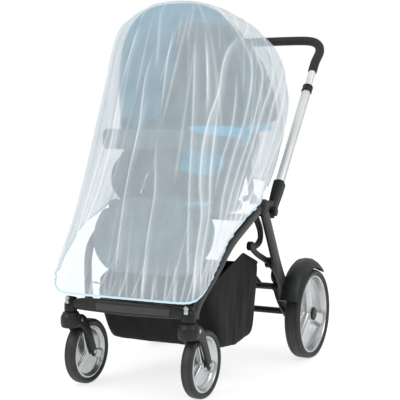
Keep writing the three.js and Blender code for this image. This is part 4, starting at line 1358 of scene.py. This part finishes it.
# Seat frame: flat nylon arms that carry the seat, the hood's hinge discs and the bumper bar.
arm = joined(
    bar(
        [
            [207, 318, 545, 5, 13],
            [207, 300, 620, 5, 13],
            [207, 275, 700, 5, 14],
            [207, 262, 768, 5, 16],
        ],
        (1, 0, 0),
        28,
        7.0,
    ),
    disc(24, 207, 6.4, 262, 776, 1.4),
    disc(15, 207, 7.8, 262, 776, 1.2),
    bar([[214, 320, 532, 11, 12], [210, 318, 558, 7, 12]], (1, 0, 0), 24, 7.0),
    bar([[184, 298, 546, 10, 8], [209, 312, 555, 11, 8]], (0, 1, 0), 24, 7.0),
)
both("seat_arm", *arm, nylon, "stroller", "black_plastic", ["seat_frame"])


# Push bar: oval-looking bright aluminium tubes, clear coated, with black lock collars. The
# thinner inner tubes slide in them and carry the handle.
bright = coated_metal("clear_coated_aluminium", "#D9DCDA", "#E8EAE8", 0.3, 0.55)


def on_push_bar(points):
    """Points made along +Z, laid along the push bar from its foot."""
    y, z = PUSH_WAY[1], PUSH_WAY[2]
    points = np.asarray(points, float)
    turned_points = points.copy()
    turned_points[:, 1] = points[:, 1] * z + points[:, 2] * y
    turned_points[:, 2] = -points[:, 1] * y + points[:, 2] * z
    return turned_points + PUSH_FOOT


def push_part(profile, sides=40):
    """A round part of the push bar from pairs of radius and place along it."""
    points, faces = turned(profile, "z", (0, 0, 0), sides)
    return on_push_bar(points), faces


outer_tube = push_part([(12.6, 0), (15, 0), (15, 371), (14.6, 372), (12.6, 372)])
both("push_tube_outer", *outer_tube, bright, "stroller", "bright_tube", ["push_tube"])
COLLAR = [
    (12.6, 372.3),
    (17, 372.3),
    (18, 374),
    (18, 380),
    (17.2, 381),
    (17.2, 392),
    (18, 393),
    (17.4, 397),
    (15.5, 398.3),
    (12.6, 398.3),
]
both("lock_collar", *push_part(COLLAR), nylon, "stroller", "black_plastic", ["push_collar"])
inner_tube = push_part([(0, 190), (11.6, 190), (12, 191), (12, 461.7), (0, 461.7)])
both("push_tube_inner", *inner_tube, bright, "handle", "bright_tube", ["inner_tube"])

# Grip: closed-cell foam sleeve, one piece round both bends, with a moulded release button in the
# middle of its cross part and a thin ring where it meets each tube.
foam, tree = fresh("closed_cell_foam")
spot = add(tree, "ShaderNodeTexCoord").outputs["Object"]
cells = add(tree, "ShaderNodeTexVoronoi", {"Vector": spot, "Scale": 520.0})
cloud = add(tree, "ShaderNodeTexNoise", {"Vector": spot, "Scale": 30.0, "Detail": 4.0})
raised = add(
    tree, "ShaderNodeBump", {"Height": cells.outputs["Distance"], "Strength": 0.25, "Distance": 0.0004}
)
surface(
    tree,
    Base_Color=two_shades(tree, cloud.outputs["Fac"], "#141414", "#202020", 0.3, 0.8),
    Roughness=0.7,
    Normal=raised.outputs[0],
)
GRIP_FOOT = 462.3
GRIP_STATIONS = 140
GRIP_RADIUS, GRIP_END = 15.5, 14.2
grip_side = [
    push_point(GRIP_FOOT),
    push_point(GRIP_FOOT + 45),
    [233, 838, 1031],
    [217, 864, 1058],
    [180, 876, 1073],
    [90, 880, 1077],
]
grip_line = np.array([[-x, y, z] for x, y, z in grip_side] + grip_side[::-1])
grip_places = np.linspace(0, len(grip_line) - 1, GRIP_STATIONS)
grip_line = np.array([catmull(grip_line, at) for at in grip_places])
grip_wide = np.full((GRIP_STATIONS, 2), GRIP_RADIUS)
grip_wide[[0, -1]] = GRIP_END
piece(
    "grip_foam",
    *sweep(grip_line, grip_wide, 32, 2.0, (0.3, -0.8, 0.5)),
    foam,
    "handle",
    "foam",
    ["grip"],
    None,
)
button = bar([[-9, 872, 1090.5, 5.5, 3.0], [9, 872, 1090.5, 5.5, 3.0]], (0, 1, 0), 24, 3.0)
piece("release_button_handle", *button, nylon, "handle", "black_plastic")

# Basket: a coated black polyester bag on a hem round its rim, hung by webbing. Its corners are
# nearly square and its sides belly a little.
BASKET_RINGS = np.array(
    [
        # y front, z front, half width, y side, z side, y rear, z rear, corner
        [44, 300, 191, 290, 380, 424, 332, 12],
        [42, 258, 194, 272, 306, 420, 290, 12],
        [78, 190, 196, 250, 206, 402, 214, 12],
        [120, 122, 193, 242, 114, 382, 130, 10],
        [144, 111, 172, 242, 106, 352, 112, 5],
    ]
)
BASKET_FLOOR = np.array([0.0, 242.0, 103.0])
BASKET_MIDDLE = np.array([0.0, 240.0, 300.0])  # a point inside the bag
BASKET_AROUND = 168
BASKET_STEPS = 8
FLOOR_ROWS = 6
BASKET_WALL = 1.6


def basket_ring(values):
    """One ring of the bag: a rounded box from above, its front, sides and rear at own heights."""
    y_front, z_front, half, y_side, z_side, y_rear, z_rear, corner = values
    turn = 2 * np.pi * (np.arange(BASKET_AROUND) + 0.5) / BASKET_AROUND
    along, across = np.cos(turn), np.sin(turn)
    size = (np.abs(along) ** corner + np.abs(across) ** corner) ** (-1 / corner)
    reach = along * size
    share = np.abs(reach)
    x = half * across * size
    y = y_side + share * (np.where(reach > 0, y_front, y_rear) - y_side)
    z = z_side + share * (np.where(reach > 0, z_front, z_rear) - z_side)
    return np.stack([x, y, z], 1)


basket_places = np.arange((len(BASKET_RINGS) - 1) * BASKET_STEPS + 1) / BASKET_STEPS
basket_grid = np.array([basket_ring(catmull(BASKET_RINGS, at)) for at in basket_places])
floor_shares = 1 - np.arange(1, FLOOR_ROWS + 1) / (FLOOR_ROWS + 1)
floor_rows = BASKET_FLOOR + (basket_grid[-1] - BASKET_FLOOR) * floor_shares[:, None, None]
basket_grid = np.concatenate([basket_grid, floor_rows])
basket_out = facing_out(basket_grid, BASKET_MIDDLE, True)
down_share = np.arange(len(basket_grid))[:, None] / (len(basket_grid) - 1)
basket_turn = 2 * np.pi * np.arange(BASKET_AROUND)[None, :] / BASKET_AROUND
slack = (
    1.6 * np.sin(7 * basket_turn + 5 * down_share)
    + 1.1 * np.sin(17 * basket_turn - 9 * down_share + 1.3)
    + 0.7 * np.sin(31 * basket_turn + 14 * down_share)
) * np.sin(np.pi * np.clip(down_share * 1.25, 0, 1))
basket_grid = basket_grid + basket_out * (slack - BASKET_WALL)[..., None]


def bag_wall(grid, out, thick, bottom):
    """The wall and floor of an open bag, closed round its rim."""
    rows, columns = grid.shape[:2]
    inner = grid - out * thick
    points = np.concatenate(
        [grid.reshape(-1, 3), [bottom], inner.reshape(-1, 3), [bottom + (0, 0, thick)]]
    )
    under = rows * columns + 1
    faces = grid_faces(rows, columns, True)
    last = (rows - 1) * columns
    faces += [[last + j, last + (j + 1) % columns, under - 1] for j in range(columns)]
    faces += [[k + under for k in reversed(face)] for face in faces]
    for j in range(columns):
        k = (j + 1) % columns
        faces.append([k, j, j + under, k + under])
    return points, outward(points, faces)


black_coated = canvas("black_coated_polyester", "#100E0D", "#1D1A18", 2.0, 0.05)
basket = piece(
    "basket_bag",
    *bag_wall(basket_grid, basket_out, BASKET_WALL, BASKET_FLOOR),
    black_coated,
    "stroller",
    "black_cloth",
    ["basket"],
)
rim_line = basket_grid[0] + basket_out[0] * 0.4
rim_line = np.concatenate([rim_line, rim_line[:1]])
rim = sweep(rim_line, [3.2, 2.2], 10, 3.0)
basket_rim = piece("basket_rim", *rim, black_coated, "stroller", "black_cloth")
webbing = bar([[150, 416, 320, 8.6, 1.2], [150, 508, 259, 8.6, 1.2]], (1, 0, 0), 16, 6.0)
both("basket_webbing", *webbing, black_coated, "stroller", "black_cloth", ["basket_strap"])
hook = bar([[181, 18, 304, 8.6, 1.2], [162, 50, 293, 8.6, 1.2]], (1, 0, 0), 16, 6.0)
both("basket_loop", *hook, black_coated, "stroller", "black_cloth", ["basket_hook"])


# Wheels: foamed rubber tyres on silver-painted nylon rims. Each rim is a deep dish with three
# broad spokes that stand out of it and run together at the hub.
def tyre_rubber(name, dark, light):
    """Foamed rubber: matt, dusty grey-black, with a faint moulding grain."""
    material, tree = fresh(name)
    spot = add(tree, "ShaderNodeTexCoord").outputs["Object"]
    dust = add(tree, "ShaderNodeTexNoise", {"Vector": spot, "Scale": 40.0, "Detail": 6.0})
    grain = add(tree, "ShaderNodeTexNoise", {"Vector": spot, "Scale": 700.0, "Detail": 2.0})
    raised = add(
        tree, "ShaderNodeBump", {"Height": grain.outputs["Fac"], "Strength": 0.25, "Distance": 0.0004}
    )
    surface(
        tree,
        Base_Color=two_shades(tree, dust.outputs["Fac"], dark, light, 0.35, 0.75),
        Roughness=0.55,
        Normal=raised.outputs[0],
    )
    return material


rubber = tyre_rubber("foamed_tyre_rubber", "#202020", "#2E2E2D")
silver = coated_metal("silver_painted_nylon", "#B9BCBC", "#CDD0D0", 0.2, 0.85)
FRONT = {"x": 193.0, "y": 0.0, "radius": 97.5, "width": 36.0, "rim": 81.0, "sides": 96}
REAR = {"x": 279.0, "y": 618.0, "radius": 147.5, "width": 54.0, "rim": 129.0, "sides": 120}


def tyre(wheel, groove):
    """A tyre with rounded shoulders and two shallow grooves round its tread."""
    foot, top, half = wheel["rim"] + 0.3, wheel["radius"], wheel["width"] / 2
    deep = top - foot
    side = [
        (foot, 0.76),
        (foot + 0.12 * deep, 0.86),
        (foot + 0.35 * deep, 0.96),
        (foot + 0.55 * deep, 1.0),
        (foot + 0.75 * deep, 0.94),
        (foot + 0.9 * deep, 0.78),
        (foot + 0.97 * deep, 0.62),
        (foot + 0.985 * deep, 0.56),
        (foot + 0.985 * deep - groove, 0.53),
        (foot + 0.985 * deep - groove, 0.49),
        (top - 0.1, 0.46),
        (top, 0.3),
    ]
    profile = [(r, -share * half) for r, share in side]
    profile += [(r, share * half) for r, share in reversed(side)]
    return turned(profile, "x", (wheel["x"], wheel["y"], wheel["radius"]), wheel["sides"])


WEB_FACE, WEB_SINK, WEB_BACK = 1.0, 3.0, -4.0  # the web's outer face, its hollow and its back
RIM_SHARE = 0.4  # half the rim's width over the tyre's width


def rim_body(wheel, bore, hub, face):
    """The dish: a barrel with a rounded lip at each side and a thin web behind its middle."""
    outer, half = wheel["rim"], wheel["width"] * RIM_SHARE
    side = [
        (bore, face),
        (hub - 3, face),
        (hub, face - 2),
        (hub + 4, WEB_FACE),
        (hub + 12, WEB_FACE - WEB_SINK),
        (outer - 22, WEB_FACE - WEB_SINK),
        (outer - 13, WEB_FACE),
        (outer - 9, half - 7),
        (outer - 7.5, half - 2),
        (outer - 5.5, half),
        (outer - 2, half),
        (outer, half - 1.5),
    ]
    profile = side + [(r, -h if h > WEB_FACE else WEB_BACK) for r, h in reversed(side)]
    return turned(profile, "x", (wheel["x"], wheel["y"], wheel["radius"]), wheel["sides"])


SPOKE_STATIONS = 9
SPOKE_HOLLOW = 3.4  # how far a spoke's face dips between the hub and the lip
SPOKE_SHORT = 5.0  # how far inside the rim's edge a spoke ends
THINNEST_SPOKE = 4.0


def spoke(wheel, hub, face, angle):
    """One spoke from hub to lip: wide at both ends, waisted between, dished on both faces."""
    half = wheel["width"] * RIM_SHARE
    reach = wheel["rim"] - SPOKE_SHORT
    stations = []
    for share in np.linspace(0.02, 1, SPOKE_STATIONS):
        wide = hub * (1.1 - 1.25 * share + 1.35 * share**2)
        dip = SPOKE_HOLLOW * math.sin(math.pi * share)
        thick = face - 1 - (face - half + 4) * share**1.4 - dip
        stations.append([0, 0, share * reach, wide, max(thick, THINNEST_SPOKE)])
    points, faces = bar(stations, (0, 1, 0), 36, 3.2, 3, 0.12)
    turn = math.radians(angle)
    y = points[:, 1] * math.cos(turn) - points[:, 2] * math.sin(turn)
    z = points[:, 1] * math.sin(turn) + points[:, 2] * math.cos(turn)
    points = np.stack([points[:, 0] + wheel["x"], y + wheel["y"], z + wheel["radius"]], 1)
    return points, faces


SPOKE_TURNS = (12, 132, 252)
# Each pair of wheels: its sizes, bore, hub radius, hub face from the middle, depth of the grooves.
for wheel, name, bore, hub, face, groove in (
    (REAR, "rear", 8.5, 25, 19, 1.2),
    (FRONT, "front", 5.5, 17, 15.5, 0.8),
):
    on = f"{name}_wheel"
    both(f"{name}_tyre_tread", *tyre(wheel, groove), rubber, on, "tyre_rubber", [f"{name}_tyre"])
    dish = joined(
        rim_body(wheel, bore, hub, face),
        *[spoke(wheel, hub, face, angle) for angle in SPOKE_TURNS],
    )
    both(f"{name}_dish", *dish, silver, on, "silver_plastic", [f"{name}_rim"])
CAP_FOOT = REAR["x"] + 19.3
cap = turned(
    [
        (0, CAP_FOOT),
        (21, CAP_FOOT),
        (22, CAP_FOOT + 2),
        (21, CAP_FOOT + 4.5),
        (18, CAP_FOOT + 6),
        (17, CAP_FOOT + 5.4),
        (10, CAP_FOOT + 6.4),
        (0, CAP_FOOT + 6.8),
    ],
    "x",
    (0, REAR["y"], REAR["radius"]),
    48,
)
both("rear_hub_cap", *cap, nylon, "rear_wheel", "black_plastic", ["hub_cap"])

# Casters: a wide moulded bell turns under each post and carries two arms to the front axle,
# with a plated bolt at each arm's top and at the axle.
bell = turned(
    [
        (0, 182),
        (22, 182),
        (27, 184),
        (29.5, 189),
        (30.5, 200),
        (30, 213),
        (27.5, 219),
        (25, 222),
        (24, 227),
        (18, 230.7),
        (0, 230.7),
    ],
    "z",
    (SWIVEL_X, SWIVEL_Y, 0),
    56,
)
arm_out = FRONT["width"] / 2 + 6.6


def fork_arm(x):
    """One arm of a caster's fork, from the bell down to the axle."""
    return bar(
        [
            [x, -86, 208, 4.6, 17],
            [x, -58, 198, 4.8, 19],
            [x, -34, 168, 4.8, 15],
            [x, -10, 120, 4.8, 14],
            [x, 0, 97.5, 4.8, 13],
            [x, 6, 87, 4.4, 9],
        ],
        (1, 0, 0),
        28,
        4.0,
    )


crown = bar(
    [[FRONT["x"], -86, 206, 26, 15], [FRONT["x"], -52, 203, 25, 13], [FRONT["x"], -38, 201, 22, 5]],
    (1, 0, 0),
    32,
    4.0,
)
fork = joined(
    bell,
    crown,
    fork_arm(FRONT["x"] - arm_out),
    fork_arm(FRONT["x"] + arm_out),
    disc(4.6, FRONT["x"], arm_out + 4.5, 0, FRONT["radius"], 0.6, 24),
)
both("caster_fork_shell", *fork, soft_grey_nylon, "front_caster", "black_plastic", ["caster_fork"])
bolts = joined(
    *[
        disc(radius, FRONT["x"] + sign * (arm_out + 4.6), 1.4, y, z, 0.6, 24)
        for sign in (-1, 1)
        for radius, y, z in ((6.2, -66, 206), (6.2, 0, FRONT["radius"]))
    ]
)
both("caster_bolts", *bolts, zinc, "front_caster", "silver_plastic")

# Mudguards: thin moulded shells over the front of the rear wheels, carried by the rear legs, with
# a crease across them and a turned-down rim.
GUARD_STEPS = 41
GUARD_STARTS, GUARD_TURNS = 58.0, 100.0  # degrees round the wheel
GUARD_RADIUS, GUARD_OPENS = 156.0, 6.0  # its inner radius, and how far it moves off the wheel
CREASE_DEEP, CREASE_AT, CREASE_WIDE = 3.0, 0.8, 0.03
guard_grid = []
for share in np.linspace(0, 1, GUARD_STEPS):
    angle = math.radians(GUARD_STARTS + GUARD_TURNS * share)
    swell = math.sin(math.pi * share) ** 0.8
    crease = CREASE_DEEP * math.exp(-(((share - CREASE_AT) / CREASE_WIDE) ** 2))
    base = GUARD_RADIUS + GUARD_OPENS * share
    section = np.array(
        [
            [238, 0],
            [238, 6],
            [243, 11 + 5 * swell],
            [252, 15 + 11 * swell - 0.5 * crease],
            [268, 16 + 14 * swell - crease],
            [284, 15 + 14 * swell - crease],
            [296, 11 + 9 * swell - 0.5 * crease],
            [303, 6 + 2 * swell],
            [307.4, -3.4],
            [303.6, -3.4],
            [298, 5 + 4 * swell],
            [284, 9 + 10 * swell],
            [268, 10 + 10 * swell],
            [252, 9 + 8 * swell],
            [244, 5 + 2 * swell],
        ]
    )
    out = np.array([0, math.cos(angle), math.sin(angle)])
    ring = np.array([(x, REAR["y"], REAR["radius"]) for x, _ in section])
    guard_grid.append(ring + out * (base + section[:, 1])[:, None])
guard_grid = np.array(guard_grid)
columns = guard_grid.shape[1]
guard_points = np.concatenate(
    [guard_grid.reshape(-1, 3), [guard_grid[0].mean(0)], [guard_grid[-1].mean(0)]]
)
guard_faces = grid_faces(GUARD_STEPS, columns, True)
final = (GUARD_STEPS - 1) * columns
for j in range(columns):
    k = (j + 1) % columns
    guard_faces.append([k, j, GUARD_STEPS * columns])
    guard_faces.append([final + j, final + k, GUARD_STEPS * columns + 1])
guard = (guard_points, outward(guard_points, guard_faces))
both("mudguard_shell", *guard, soft_grey_nylon, "stroller", "black_plastic", ["mudguard"], 32)
